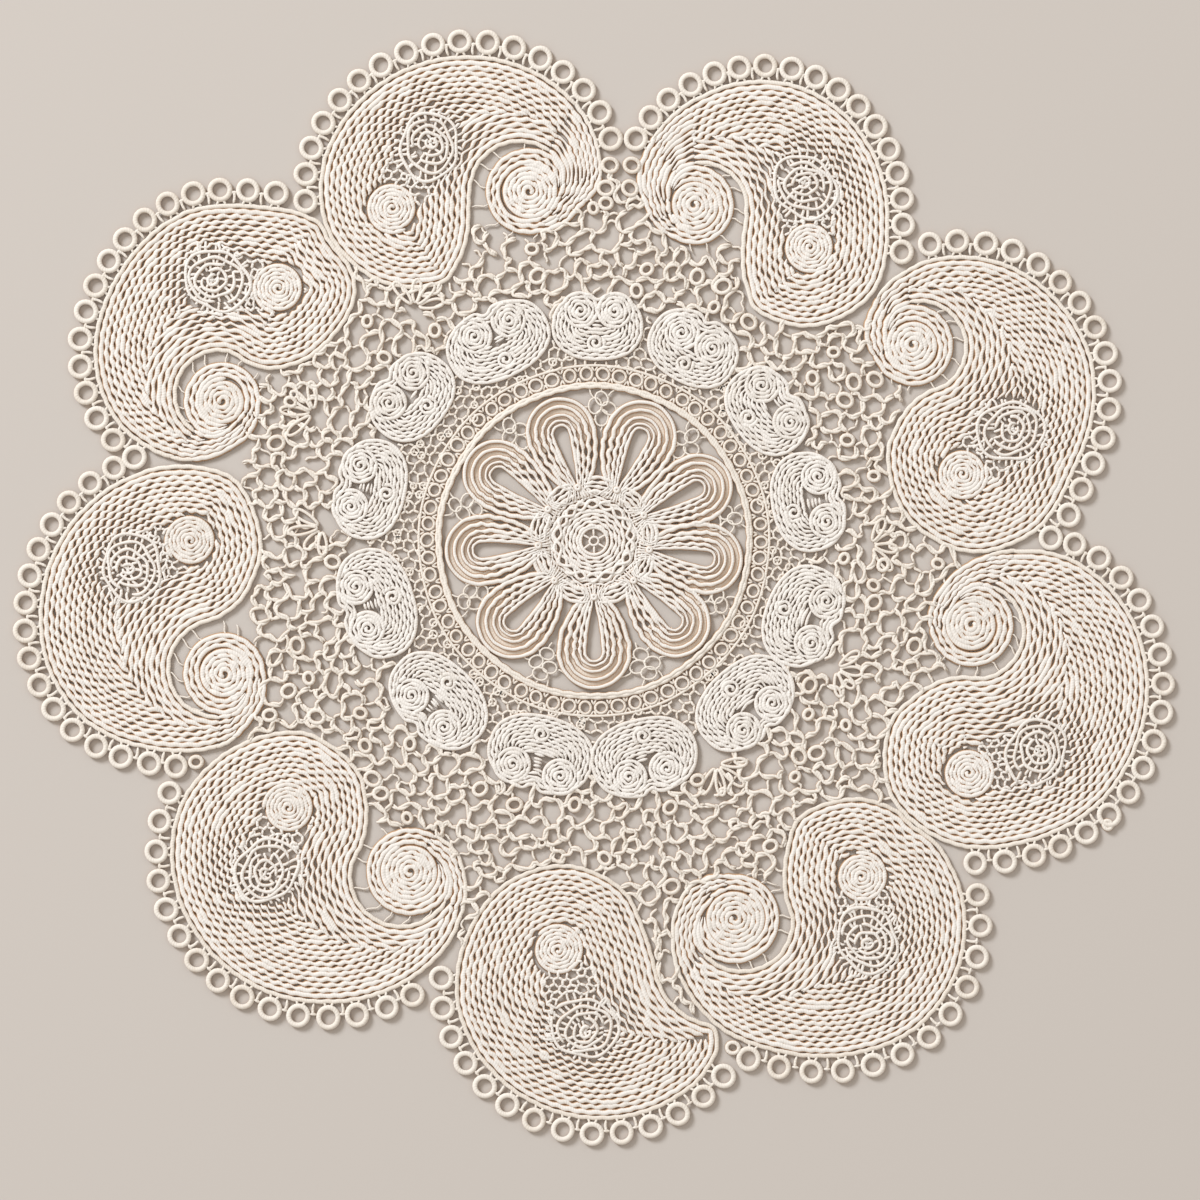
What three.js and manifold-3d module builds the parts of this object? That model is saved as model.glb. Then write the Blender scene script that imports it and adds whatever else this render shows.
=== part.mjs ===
// A round placemat of tape lace that lies flat on a table.
// Nine paisley lobes with a ring edging stand round an open ground net. Inside it are thirteen
// spiral medallions, a fine net, a band of small rings and a flower with nine looped petals.
// Lengths are in millimetres, angles in degrees anticlockwise from +X, +Z is up.
// The underside lies at z = 0, and the origin is under the middle of the mat.

import * as THREE from 'three';
import { mergeVertices } from 'three/addons/utils/BufferGeometryUtils.js';
import Module from 'manifold-3d';

const wasm = await Module();
wasm.setup();

// Thicknesses
const paisleyHeight = 2.4;
const edgingHeight = 2.0;
const medallionHeight = 2.4;
const groundNetHeight = 1.6;
const fineNetHeight = 1.2;
const bandHeight = 2.0;
const flowerHeight = 2.2;

// Clearances
const clearance = 0.3; // between neighbouring pieces
const cutMargin = 1; // a cutting prism passes this far under and over the mat
const tallest = Math.max(paisleyHeight, medallionHeight);

// Middle of the flower, measured from the middle of the whole mat
const flower = { x: 0, y: 15.7 };

// Rounds inside the ground net, as radii about the middle of the flower
const petalTip = 49.0;
const bandInner = 49.7;
const bandOuter = 57.9;
const fineNetOuter = 72.9;
const flowerCentreRadius = 14.6;
const roundSides = 30;
const centreSides = 20;

// Paisley lobes, clockwise from the top left. Each outline is a closed smooth curve through
// twelve points, 30 degrees apart about (x, y). The first lies in the notch between head and
// tail, and turn says which way round the others follow: 1 is anticlockwise.
const reachStep = 30;
const curvePointsPerReach = 2;
const paisleys = [
  {
    x: -43.8, y: 136.4, notch: -64, turn: -1,
    reach: [20, 35.5, 44.5, 48, 45.5, 41, 38.5, 38.5, 41, 45, 46, 34],
  },
  {
    x: 55.9, y: 127.2, notch: -130, turn: 1,
    reach: [18.5, 34.5, 44.5, 47, 41.5, 39.5, 39, 39.5, 40, 41.5, 42.5, 34],
  },
  {
    x: 127.9, y: 60.2, notch: 174, turn: 1,
    reach: [26.5, 35.5, 45, 49, 44.5, 36.5, 36, 38.5, 42, 47.5, 51.5, 48.5],
  },
  {
    x: 136.7, y: -36.3, notch: 158, turn: 1,
    reach: [25.5, 40, 51, 51.5, 47, 45, 44, 45.5, 48.5, 50.5, 48.5, 42],
  },
  {
    x: 73.9, y: -111.5, notch: 133, turn: -1,
    reach: [21.5, 37, 45.5, 48, 48.5, 47.5, 45.5, 42.5, 42.5, 46.5, 49, 46.5],
  },
  {
    x: -4.6, y: -131.1, notch: 6, turn: 1,
    reach: [27.5, 28.5, 36, 41.5, 43, 41.5, 41, 40, 40.5, 43, 47, 50],
  },
  {
    x: -91.2, y: -91.9, notch: 34, turn: 1,
    reach: [24, 35, 45.5, 48.5, 49.5, 47, 44.5, 43.5, 44, 47, 50.5, 48.5],
  },
  {
    x: -143.6, y: -6.2, notch: -2, turn: 1,
    reach: [29.5, 40, 50, 46.5, 41.5, 38.5, 38, 40.5, 44, 46.5, 50.5, 45],
  },
  {
    x: -123.9, y: 84.7, notch: -47, turn: 1,
    reach: [22.5, 32.5, 47.5, 50.5, 43, 40.5, 37.5, 37.5, 41, 44.5, 44.5, 38],
  },
];

// The curled end of each tail: a disc at (x, y), joined to the tail on its side at the angle
// join and parted from the head by a crescent as wide as crescent. The sixth lobe has no curl,
// and a round bite parts its tail from the curl of the fifth.
const curlJoin = 1.0; // how far the disc runs into the tail
const curls = [
  { x: -21.3, y: 130.1, radius: 13.9, crescent: 5.0, join: 0 },
  { x: 32.7, y: 125.6, radius: 12.8, crescent: 4.1, join: 158 },
  { x: 104.3, y: 79.8, radius: 13.1, crescent: 3.9, join: 165 },
  { x: 123.6, y: -11.8, radius: 13.4, crescent: 4.2, join: 125 },
  { x: 44.8, y: -107.9, radius: 14.4, crescent: 4.3, join: 164 },
  null,
  { x: -60.2, y: -92.5, radius: 14.1, crescent: 5.2, join: 23 },
  { x: -121.0, y: -27.8, radius: 13.2, crescent: 5.1, join: -35 },
  { x: -121.6, y: 61.5, radius: 12.4, crescent: 4.0, join: -63 },
];
const curlSides = 13;
const bite = { x: 41.9, y: -120.7, radius: 21.9 };

// Ring edging: count rings stand evenly round each lobe, clockwise between two angles
// about the middle of the lobe.
const ringOuter = 4.05;
const ringHole = 2.6;
const ringHoleSides = 4;
const ringStandOff = 4.4; // from the edge of the lobe to the middle of a ring
const ringArcAngle = 42; // either side of the line outwards through a ring
const endArcAngle = 110; // how far a strip follows its first and last ring
const valleyStandOff = 2.9; // how far out the strip reaches between two rings
const edgeSteps = 720; // steps round a lobe along which the rings are spaced
const edgingRows = [
  { from: 191, to: 12, count: 17 },
  { from: 155, to: -21, count: 17 },
  { from: 109, to: -64, count: 16 },
  { from: 68, to: -103, count: 17 },
  { from: 12.5, to: -119, count: 12 },
  { from: -31, to: -185, count: 14 },
  { from: -52, to: -208, count: 15 },
  { from: -82, to: -254, count: 16 },
  { from: -122, to: -294, count: 16 },
];

// Medallions, clockwise from the top. Each lies across the line to the middle of the flower:
// two spirals on its outer side and a small eye on its inner side, which it reaches inwards.
const spiral = { out: 2.0, radius: 8.8 };
const medallionEyeRadius = 7.2;
const discSides = 11;
const medallions = [
  { angle: 89.1, distance: 70.4, length: 29.4, inward: 11.4 },
  { angle: 62.8, distance: 71.6, length: 30.0, inward: 12.6 },
  { angle: 37.0, distance: 71.1, length: 30.4, inward: 12.1 },
  { angle: 10.4, distance: 72.2, length: 32.4, inward: 13.1 },
  { angle: -19.8, distance: 73.9, length: 33.4, inward: 13.7 },
  { angle: -47.0, distance: 74.2, length: 35.0, inward: 14.4 },
  { angle: -76.9, distance: 74.2, length: 34.6, inward: 14.4 },
  { angle: -104.1, distance: 73.3, length: 34.4, inward: 14.2 },
  { angle: -134.3, distance: 74.6, length: 35.4, inward: 14.4 },
  { angle: -164.0, distance: 75.2, length: 36.0, inward: 13.7 },
  { angle: 167.0, distance: 75.8, length: 32.8, inward: 12.4 },
  { angle: 141.6, distance: 76.8, length: 30.4, inward: 13.1 },
  { angle: 115.7, distance: 73.3, length: 34.6, inward: 13.1 },
];

// Ground net: where two lobes meet, the net runs out to a corner; gaps are its largest holes.
const netCorners = [
  { x: 8.5, y: 141 },
  { x: 93.5, y: 97.5 },
  { x: 131, y: 11.5 },
  { x: 104, y: -75 },
  { x: 39, y: -141 },
  { x: -45, y: -119 },
  { x: -114, y: -50.5 },
  { x: -114, y: 42 },
  { x: -84, y: 110.5 },
];
const netGapRadius = 4.4;
const netGapSides = 6;
const netGaps = [
  { x: 14, y: 108 },
  { x: 75, y: 79 },
  { x: 96, y: -8 },
  { x: 81, y: -45 },
  { x: 21, y: -85 },
  { x: -45, y: -78 },
  { x: -94, y: -39 },
  { x: -104, y: 39 },
  { x: -72, y: 92 },
];

// Flower: angle of each petal and the distance of its open eye.
const petals = [
  { angle: 106.6, eye: 35.5 },
  { angle: 66, eye: 34.7 },
  { angle: 27, eye: 36.3 },
  { angle: -8.5, eye: 35.3 },
  { angle: -45, eye: 34.2 },
  { angle: -90, eye: 31.7 },
  { angle: -133, eye: 33.0 },
  { angle: -175.6, eye: 34.3 },
  { angle: -216, eye: 34.0 },
];
const petalSides = 12;
const petalTipRadius = 12.1;
const petalRoot = { distance: 11.4, radius: 3.9 };
const petalEye = { length: 16, width: 7 };
const petalNetInner = 22; // the nets between petals start here, where the petals part

const cotton = { color: 0xefe6da, roughness: 0.9, metalness: 0 };
const cord = { color: 0xe9ddcd, roughness: 0.9, metalness: 0 };

const group = new THREE.Group();

const radians = (degrees) => THREE.MathUtils.degToRad(degrees);
const facing = (direction) => THREE.MathUtils.radToDeg(direction.angle());

// The point at a distance and angle from an origin.
function polar(origin, distance, angle) {
  const turned = radians(angle);
  return new THREE.Vector2(origin.x + distance * Math.cos(turned), origin.y + distance * Math.sin(turned));
}

// A regular polygon whose corners lie on a circle.
function roundPoints(centre, radius, sides, start = 0) {
  return Array.from({ length: sides }, (_, i) => polar(centre, radius, start + (360 * i) / sides));
}

function anticlockwise(points) {
  return THREE.ShapeUtils.isClockWise(points) ? [...points].reverse() : points;
}

// Moves every side of an outline outwards by the same distance.
function grown(outline, distance) {
  const points = anticlockwise(outline);
  return points.map((point, i) => {
    const before = points[(i + points.length - 1) % points.length];
    const after = points[(i + 1) % points.length];
    const inward = point.clone().sub(before).normalize();
    const onward = after.clone().sub(point).normalize();
    const mitre = new THREE.Vector2(inward.y + onward.y, -inward.x - onward.x);
    return point.clone().addScaledVector(mitre, distance / (1 + inward.dot(onward)));
  });
}

// The convex outline round a set of points.
function hull(points) {
  const sorted = [...points].sort((a, b) => a.x - b.x || a.y - b.y);
  const turnsLeft = (a, b, c) => (b.x - a.x) * (c.y - a.y) - (b.y - a.y) * (c.x - a.x) > 0;
  const chain = (row) => {
    const kept = [];
    for (const point of row) {
      while (kept.length > 1 && !turnsLeft(kept.at(-2), kept.at(-1), point)) kept.pop();
      kept.push(point);
    }
    return kept.slice(0, -1);
  };
  return [...chain(sorted), ...chain(sorted.reverse())];
}

// An upright prism on an outline, as a solid that can be joined and cut.
function prism(outline, bottom, top) {
  const geometry = new THREE.ExtrudeGeometry(new THREE.Shape(outline), {
    depth: top - bottom,
    bevelEnabled: false,
  });
  geometry.translate(0, 0, bottom);
  geometry.deleteAttribute('normal');
  geometry.deleteAttribute('uv');
  const merged = mergeVertices(geometry);
  return new wasm.Manifold(
    new wasm.Mesh({
      numProp: 3,
      vertProperties: new Float32Array(merged.attributes.position.array),
      triVerts: new Uint32Array(merged.index.array),
    }),
  );
}

const slab = (outline, height) => prism(outline, 0, height);
const cutter = (outline) => prism(outline, -cutMargin, tallest + cutMargin);
const roundCutter = (radius) => cutter(roundPoints(flower, radius, roundSides));

function cutAll(solid, cutters) {
  return cutters.reduce((rest, tool) => rest.subtract(tool), solid);
}

// Puts a finished solid into the model under its own name.
function addPiece(name, solid, look) {
  const mesh = solid.getMesh();
  const geometry = new THREE.BufferGeometry();
  geometry.setAttribute('position', new THREE.BufferAttribute(mesh.vertProperties, 3));
  geometry.setIndex(new THREE.BufferAttribute(mesh.triVerts, 1));
  geometry.computeVertexNormals();
  const piece = new THREE.Mesh(geometry, new THREE.MeshStandardMaterial(look));
  piece.name = name;
  group.add(piece);
}

// ---- Paisley lobes ----

function paisleyCurve(lobe) {
  const points = lobe.reach.map((reach, i) => {
    const point = polar(lobe, reach, lobe.notch + lobe.turn * reachStep * i);
    return new THREE.Vector3(point.x, point.y, 0);
  });
  return new THREE.CatmullRomCurve3(points, true, 'centripetal');
}

function paisleyOutline(lobe) {
  const curve = paisleyCurve(lobe);
  const count = lobe.reach.length * curvePointsPerReach;
  return Array.from({ length: count }, (_, i) => {
    const point = curve.getPoint(i / count);
    return new THREE.Vector2(point.x, point.y);
  });
}

// The round pocket that holds a curl. It is wider than the curl by the crescent on one side,
// and the curl runs into the tail on the other.
function pocketPoints(curl) {
  const offset = (curl.crescent + curlJoin) / 2;
  const radius = curl.radius + (curl.crescent - curlJoin) / 2;
  return roundPoints(polar(curl, -offset, curl.join), radius, curlSides);
}

const outlines = paisleys.map(paisleyOutline);
const curlOutlines = curls.map((curl) => (curl ? roundPoints(curl, curl.radius, curlSides) : null));
const bitePoints = roundPoints(bite, bite.radius, curlSides);
const pockets = curls.map((curl) => (curl ? pocketPoints(curl) : bitePoints));

// The space that a lobe keeps from its neighbours.
function lobeClearance(i) {
  const body = cutter(grown(outlines[i], clearance));
  if (curlOutlines[i]) return body.add(cutter(grown(curlOutlines[i], clearance)));
  return body.subtract(cutter(roundPoints(bite, bite.radius - clearance, curlSides)));
}

const lobeClearances = paisleys.map((_, i) => lobeClearance(i));

paisleys.forEach((_, i) => {
  let lobe = slab(outlines[i], paisleyHeight).subtract(cutter(pockets[i]));
  if (curlOutlines[i]) lobe = lobe.add(slab(curlOutlines[i], paisleyHeight));
  const clear = cutAll(lobe, lobeClearances.slice(0, i));
  addPiece(`paisley_${i + 1}`, clear, cotton);
});

// ---- Ring edging ----

// The part of a lobe's outline between two angles, pushed out by a distance, as a fine line.
function edgeLine(lobe, row, standOff) {
  const curve = paisleyCurve(lobe);
  const line = [];
  for (let i = 0; i < edgeSteps; i += 1) {
    const point = curve.getPoint(i / edgeSteps);
    const tangent = curve.getTangent(i / edgeSteps);
    const outward = new THREE.Vector2(tangent.y, -tangent.x).multiplyScalar(lobe.turn);
    const place = new THREE.Vector2(point.x, point.y).addScaledVector(outward, standOff);
    const angle = facing(place.clone().sub(lobe));
    const behind = THREE.MathUtils.euclideanModulo(row.from - angle, 360);
    line.push({ place, outward, behind });
  }
  return line.filter((item) => item.behind <= row.from - row.to).sort((a, b) => a.behind - b.behind);
}

// The places of a lobe's rings, at equal steps along the line that they stand on.
function ringPlaces(i) {
  const line = edgeLine(paisleys[i], edgingRows[i], ringStandOff);
  const lengths = [0];
  for (let k = 1; k < line.length; k += 1) {
    lengths.push(lengths[k - 1] + line[k].place.distanceTo(line[k - 1].place));
  }
  const lastRing = edgingRows[i].count - 1;
  return Array.from({ length: lastRing + 1 }, (_, k) => {
    const wanted = (lengths.at(-1) * k) / lastRing;
    return line[Math.max(0, lengths.findLastIndex((length) => length <= wanted))];
  });
}

const allRingPlaces = edgingRows.map((_, i) => ringPlaces(i));

// The strip before it is fitted to the lobe: scallops round the rings, closed through the lobe.
function stripPoints(i) {
  const points = [];
  const rings = allRingPlaces[i];
  rings.forEach(({ place, outward }, k) => {
    const next = rings[k + 1];
    const angles = [ringArcAngle, -ringArcAngle];
    if (k === 0) angles.unshift(endArcAngle);
    if (!next) angles.push(-endArcAngle);
    for (const angle of angles) points.push(polar(place, ringOuter, facing(outward) + angle));
    if (!next) return;
    const between = place.clone().add(next.place).multiplyScalar(0.5);
    const away = outward.clone().add(next.outward).normalize();
    points.push(between.addScaledVector(away, valleyStandOff - ringStandOff));
  });
  points.reverse();
  points.push(new THREE.Vector2(paisleys[i].x, paisleys[i].y));
  return points;
}

const stripClearances = edgingRows.map((_, i) => cutter(grown(stripPoints(i), clearance)));

edgingRows.forEach((_, i) => {
  const holes = allRingPlaces[i].map(({ place, outward }) =>
    cutter(roundPoints(place, ringHole, ringHoleSides, facing(outward))),
  );
  const cutters = [...lobeClearances, ...stripClearances.slice(0, i), ...holes];
  addPiece(`ring_edging_${i + 1}`, cutAll(slab(stripPoints(i), edgingHeight), cutters), cord);
});

// ---- Medallions ----

function medallionPoints({ angle, distance, length, inward }) {
  const aside = length / 2 - spiral.radius;
  const spiralLine = polar(flower, distance + spiral.out, angle);
  const eye = polar(flower, distance - inward + medallionEyeRadius, angle);
  return hull([
    ...roundPoints(polar(spiralLine, aside, angle - 90), spiral.radius, discSides, angle),
    ...roundPoints(polar(spiralLine, aside, angle + 90), spiral.radius, discSides, angle),
    ...roundPoints(eye, medallionEyeRadius, discSides, angle),
  ]);
}

const medallionOutlines = medallions.map(medallionPoints);
medallionOutlines.forEach((outline, i) => {
  addPiece(`medallion_${i + 1}`, slab(outline, medallionHeight), cotton);
});
const medallionClearances = medallionOutlines.map((outline) => cutter(grown(outline, clearance)));

// ---- Ground net ----

const netOutline = paisleys.flatMap((lobe, i) => [new THREE.Vector2(lobe.x, lobe.y), netCorners[i]]);
const netCutters = [
  ...lobeClearances,
  ...pockets.filter((_, i) => curls[i]).map(cutter),
  ...stripClearances,
  ...medallionClearances,
  roundCutter(fineNetOuter + clearance),
  ...netGaps.map((place) => cutter(roundPoints(place, netGapRadius, netGapSides))),
];
addPiece('ground_net', cutAll(slab(netOutline, groundNetHeight), netCutters), cord);

// ---- Rounds inside the ground net ----

const ringSlab = (inner, outer, height) =>
  slab(roundPoints(flower, outer, roundSides), height).subtract(roundCutter(inner));

const innerNet = ringSlab(bandOuter + clearance, fineNetOuter, fineNetHeight);
addPiece('inner_net', cutAll(innerNet, medallionClearances), cord);
addPiece('ring_band', ringSlab(bandInner, bandOuter, bandHeight), cord);

// ---- Flower ----

function petalPoints({ angle }) {
  const tip = polar(flower, petalTip - petalTipRadius, angle);
  const root = polar(flower, petalRoot.distance, angle);
  return hull([
    ...roundPoints(tip, petalTipRadius, petalSides, angle),
    ...roundPoints(root, petalRoot.radius, petalSides / 2, angle),
  ]);
}

// The wedge between two angles about the middle of the flower, half a clearance inside both.
function wedge(from, to) {
  const half = (to - from) / 2;
  const apex = polar(flower, clearance / 2 / Math.sin(radians(half)), from + half);
  const far = 2 * bandInner;
  return cutter([apex, polar(apex, far, from), polar(apex, far, from + half), polar(apex, far, to)]);
}

function eyePoints({ angle, eye }) {
  const middle = polar(flower, eye, angle);
  const corners = [
    { along: petalEye.length / 2, across: 0 },
    { along: petalEye.length / 3, across: petalEye.width / 2 },
    { along: -petalEye.length / 6, across: petalEye.width / 2 },
    { along: -petalEye.length / 2, across: 0 },
    { along: -petalEye.length / 6, across: -petalEye.width / 2 },
    { along: petalEye.length / 3, across: -petalEye.width / 2 },
  ];
  return corners.map(({ along, across }) => polar(polar(middle, along, angle), across, angle + 90));
}

const petalOutlines = petals.map(petalPoints);
const centreClearance = cutter(roundPoints(flower, flowerCentreRadius + clearance, centreSides));

petals.forEach((petal, i) => {
  const before = petals[(i + petals.length - 1) % petals.length].angle + (i === 0 ? 360 : 0);
  const after = petals[(i + 1) % petals.length].angle - (i === petals.length - 1 ? 360 : 0);
  const room = wedge((petal.angle + after) / 2, (petal.angle + before) / 2);
  const solid = slab(petalOutlines[i], flowerHeight).intersect(room);
  addPiece(`petal_${i + 1}`, cutAll(solid, [centreClearance, cutter(eyePoints(petal))]), cotton);

  const between = ringSlab(petalNetInner, bandInner - clearance, fineNetHeight);
  const cutters = petalOutlines.map((outline) => cutter(grown(outline, clearance)));
  addPiece(`petal_net_${i + 1}`, cutAll(between.intersect(wedge(after, petal.angle)), cutters), cord);
});

addPiece('flower_centre', slab(roundPoints(flower, flowerCentreRadius, centreSides), flowerHeight), cotton);

// The middle of the mat goes over the origin.
const middle = new THREE.Box3().setFromObject(group).getCenter(new THREE.Vector3());
group.position.set(-middle.x, -middle.y, 0);

export default group;
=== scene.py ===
import math

import bpy
import numpy as np
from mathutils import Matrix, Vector, geometry


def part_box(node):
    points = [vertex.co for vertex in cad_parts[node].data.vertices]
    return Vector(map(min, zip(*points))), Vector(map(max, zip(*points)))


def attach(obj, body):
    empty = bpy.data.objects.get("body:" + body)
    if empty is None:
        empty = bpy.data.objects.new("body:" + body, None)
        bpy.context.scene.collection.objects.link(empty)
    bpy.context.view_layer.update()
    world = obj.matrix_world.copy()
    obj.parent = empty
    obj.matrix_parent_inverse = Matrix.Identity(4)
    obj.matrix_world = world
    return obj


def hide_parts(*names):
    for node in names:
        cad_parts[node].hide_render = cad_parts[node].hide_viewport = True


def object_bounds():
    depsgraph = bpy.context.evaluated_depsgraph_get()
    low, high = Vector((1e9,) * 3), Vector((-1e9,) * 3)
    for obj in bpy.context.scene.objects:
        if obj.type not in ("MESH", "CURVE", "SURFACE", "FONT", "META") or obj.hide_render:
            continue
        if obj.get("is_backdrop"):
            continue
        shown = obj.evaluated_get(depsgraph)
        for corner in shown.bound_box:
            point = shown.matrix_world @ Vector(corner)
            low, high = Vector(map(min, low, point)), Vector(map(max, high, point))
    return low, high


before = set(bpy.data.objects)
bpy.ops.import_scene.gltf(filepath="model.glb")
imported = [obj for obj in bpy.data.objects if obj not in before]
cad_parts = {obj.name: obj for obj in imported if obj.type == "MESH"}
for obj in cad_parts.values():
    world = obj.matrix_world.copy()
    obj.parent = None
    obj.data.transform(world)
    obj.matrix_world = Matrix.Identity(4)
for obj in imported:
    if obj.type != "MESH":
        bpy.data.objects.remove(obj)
low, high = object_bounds()
startBox = [list(low), list(high)]

# lengths below are in millimetres, and meshes are scaled to metres as they are built
mm = 0.001
turn = 2 * math.pi
tiny = 1e-9  # keeps a length that is divided by above nought


# small numbers that look like chance, the same each run

def chance(cells, seed):
    # a number from 0 to 1 for each cell: what a large sine of its number leaves over above a whole number
    value = np.sin(np.asarray(cells, float) * 12.9898 + seed * 78.233) * 43758.5453
    return value - np.floor(value)


def drift(x, seed):
    # a smooth wander from -1 to 1: the chance at the whole numbers on both sides of x, eased together
    whole = np.floor(x)
    ease = x - whole
    ease = ease * ease * (3 - 2 * ease)
    return 2 * (chance(whole, seed) * (1 - ease) + chance(whole + 1, seed) * ease) - 1


def fade(x, start, end):
    # 0 before start, 1 after end, eased in between
    t = np.clip((x - start) / (end - start), 0, 1)
    return t * t * (3 - 2 * t)


# lines in the plane

def unit(vectors):
    # each vector divided by its own length
    return vectors / np.maximum(np.linalg.norm(vectors, axis=-1, keepdims=True), tiny)


def leftOf(vectors):
    # each vector turned a quarter anticlockwise: (x, y) becomes (-y, x)
    return np.stack([-vectors[..., 1], vectors[..., 0]], -1)


def ray(angle):
    # the vectors (cos, sin) of angles in radians
    return np.stack([np.cos(angle), np.sin(angle)], -1)


def headingOf(vectors):
    # the angles of vectors in radians
    return np.arctan2(vectors[..., 1], vectors[..., 0])


def shortAngle(angle):
    # the same angle between minus half a turn and half a turn
    return np.mod(angle + math.pi, turn) - math.pi


def anglesRound(count):
    # equal steps of a full turn from 0 on
    return turn * np.arange(count) / count


def placed(local, origin, along):
    # places given by their ways along a unit vector and aside to its left
    return origin + local[..., :1] * along + local[..., 1:] * leftOf(along)


def awayFrom(places, centre):
    # how far each place lies from a centre
    return np.hypot(places[..., 0] - centre[0], places[..., 1] - centre[1])


def clearOf(places, discs):
    # true where a place lies outside every disc (x, y, radius)
    clear = np.ones(places.shape[:-1], bool)
    for x, y, radius in discs:
        clear &= awayFrom(places, (x, y)) > radius
    return clear


def lengthsAlong(line):
    # the length of a line up to each of its points
    return np.concatenate([[0], np.cumsum(np.linalg.norm(np.diff(line, axis=0), axis=1))])


def evenly(line, step, closed=False):
    # points at equal steps along a line, found by its length
    full = np.vstack([line, line[:1]]) if closed else line
    along = lengthsAlong(full)
    count = max(int(round(along[-1] / step)), 3)
    at = along[-1] * np.arange(count + (not closed)) / count
    return np.stack([np.interp(at, along, full[:, k]) for k in range(full.shape[1])], 1)


def softened(loop, points):
    # each point of a closed line becomes the bell-weighted mean of its neighbours
    reach = np.arange(-math.ceil(3 * points), math.ceil(3 * points) + 1)
    weights = np.exp(-0.5 * (reach / points) ** 2)
    weights = weights / weights.sum()
    return sum(np.roll(loop, -r, axis=0) * w for r, w in zip(reach, weights))


def rounded(points, steps):
    # a smooth curve through points: p0, p1, p2, p3 weighted by cubic polynomials of the way from p1 to p2
    p = np.vstack([2 * points[:1] - points[1:2], points, 2 * points[-1:] - points[-2:-1]])
    t = (np.arange(steps) / steps)[None, :, None]
    p0, p1, p2, p3 = (p[k:len(p) - 3 + k][:, None, :] for k in range(4))
    curve = 0.5 * (2 * p1 + (p2 - p0) * t + (2 * p0 - 5 * p1 + 4 * p2 - p3) * t ** 2
                   + (3 * p1 - p0 - 3 * p2 + p3) * t ** 3)
    return np.vstack([curve.reshape(-1, points.shape[1]), points[-1:]])


def area(loop):
    # half the sum of the cross products of neighbouring points, positive when the loop runs anticlockwise
    after = np.roll(loop, -1, axis=0)
    return 0.5 * float((loop[:, 0] * after[:, 1] - loop[:, 1] * after[:, 0]).sum())


def distanceTo(places, line):
    # the distance from each place to the nearest point of a finely stepped line
    batch = 4000  # places at a time, which spares memory
    flat = places.reshape(-1, 2)
    near = np.empty(len(flat))
    for start in range(0, len(flat), batch):
        part = flat[start:start + batch]
        squares = ((part[:, None, 0] - line[None, :, 0]) ** 2
                   + (part[:, None, 1] - line[None, :, 1]) ** 2)
        near[start:start + batch] = np.sqrt(squares.min(1))
    return near.reshape(places.shape[:-1])


def nearestOn(line, places):
    # the point of a line that lies nearest to each place
    return line[np.argmin(((places[..., None, :] - line) ** 2).sum(-1), axis=-1)]


def inside(places, loop):
    # a place is inside when a line from it to one side crosses the loop an odd number of times
    x, y = places[..., 0:1], places[..., 1:2]
    after = np.roll(loop, -1, axis=0)
    crosses = (loop[:, 1] > y) != (after[:, 1] > y)
    along = after - loop
    slope = along[:, 0] / np.where(along[:, 1] == 0, tiny, along[:, 1])
    return (crosses & (x < loop[:, 0] + (y - loop[:, 1]) * slope)).sum(-1) % 2 == 1


def runsOf(kept):
    # the first and last number of each unbroken run of kept points on a closed line, and if it is all of
    # it
    if kept.all():
        return [(0, len(kept) - 1, True)]
    if not kept.any():
        return []
    first = int(np.argmin(kept))
    rolled = np.roll(kept, -first).astype(int)
    change = np.diff(np.concatenate([[0], rolled, [0]]))
    starts, ends = np.flatnonzero(change == 1), np.flatnonzero(change == -1) - 1
    return [(int(s) + first, int(e) + first, False) for s, e in zip(starts, ends)]


topSlack = 0.01  # how far a corner may lie below a CAD piece's top and still count as on it


def topLoops(node):
    # the lines round the top face of a CAD piece: the sides that only one of its top triangles has, joined
    # end to end; the longest outline comes first
    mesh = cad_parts[node].data
    places = np.empty(len(mesh.vertices) * 3, np.float32)
    mesh.vertices.foreach_get("co", places)
    places = places.astype(float).reshape(-1, 3) / mm
    corners = np.empty(len(mesh.loops), np.int32)
    mesh.loops.foreach_get("vertex_index", corners)
    triangles = corners.reshape(-1, 3)
    onTop = (np.abs(places[triangles][:, :, 2] - places[:, 2].max()) < topSlack).all(1)
    spots, which = np.unique(np.round(places[:, :2], 2), axis=0, return_inverse=True)
    top = which.ravel()[triangles[onTop]]
    sides = np.vstack([top[:, [0, 1]], top[:, [1, 2]], top[:, [2, 0]]])
    code, back = sides[:, 0] * len(spots) + sides[:, 1], sides[:, 1] * len(spots) + sides[:, 0]
    onward = {int(a): int(b) for a, b in sides[~np.isin(code, back)]}
    loops = []
    while onward:
        walk = [min(onward)]
        while walk[-1] in onward:
            walk.append(onward.pop(walk[-1]))
        loops.append(spots[walk[:-1]])
    return sorted(loops, key=lambda loop: -abs(area(loop)))


def boxOf(node):
    # the lowest corner and the size of a CAD piece, seen from above
    lowest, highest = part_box(node)
    lowest, highest = np.array(lowest)[:2] / mm, np.array(highest)[:2] / mm
    return lowest, highest - lowest


def middleOf(node):
    # the middle of a CAD piece's box, seen from above
    return within(node, (0.5, 0.5))


def within(node, share):
    # the place at these shares of a CAD piece's width and depth
    lowest, size = boxOf(node)
    return lowest + size * np.array(share)


# strands: many paths in one mesh

# an open strand narrows at its ends, so that they look rounded: shares of the half width and half height
# at the last point, and of the half width at the point before it
strandEnds = {"half": 0.5, "high": 0.6, "before": 0.86}
bendRoom = 0.9  # the half width stays under this share of the radius of a bend


def newBundle():
    return {"points": [], "half": [], "high": [], "closed": [], "tone": []}


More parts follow.
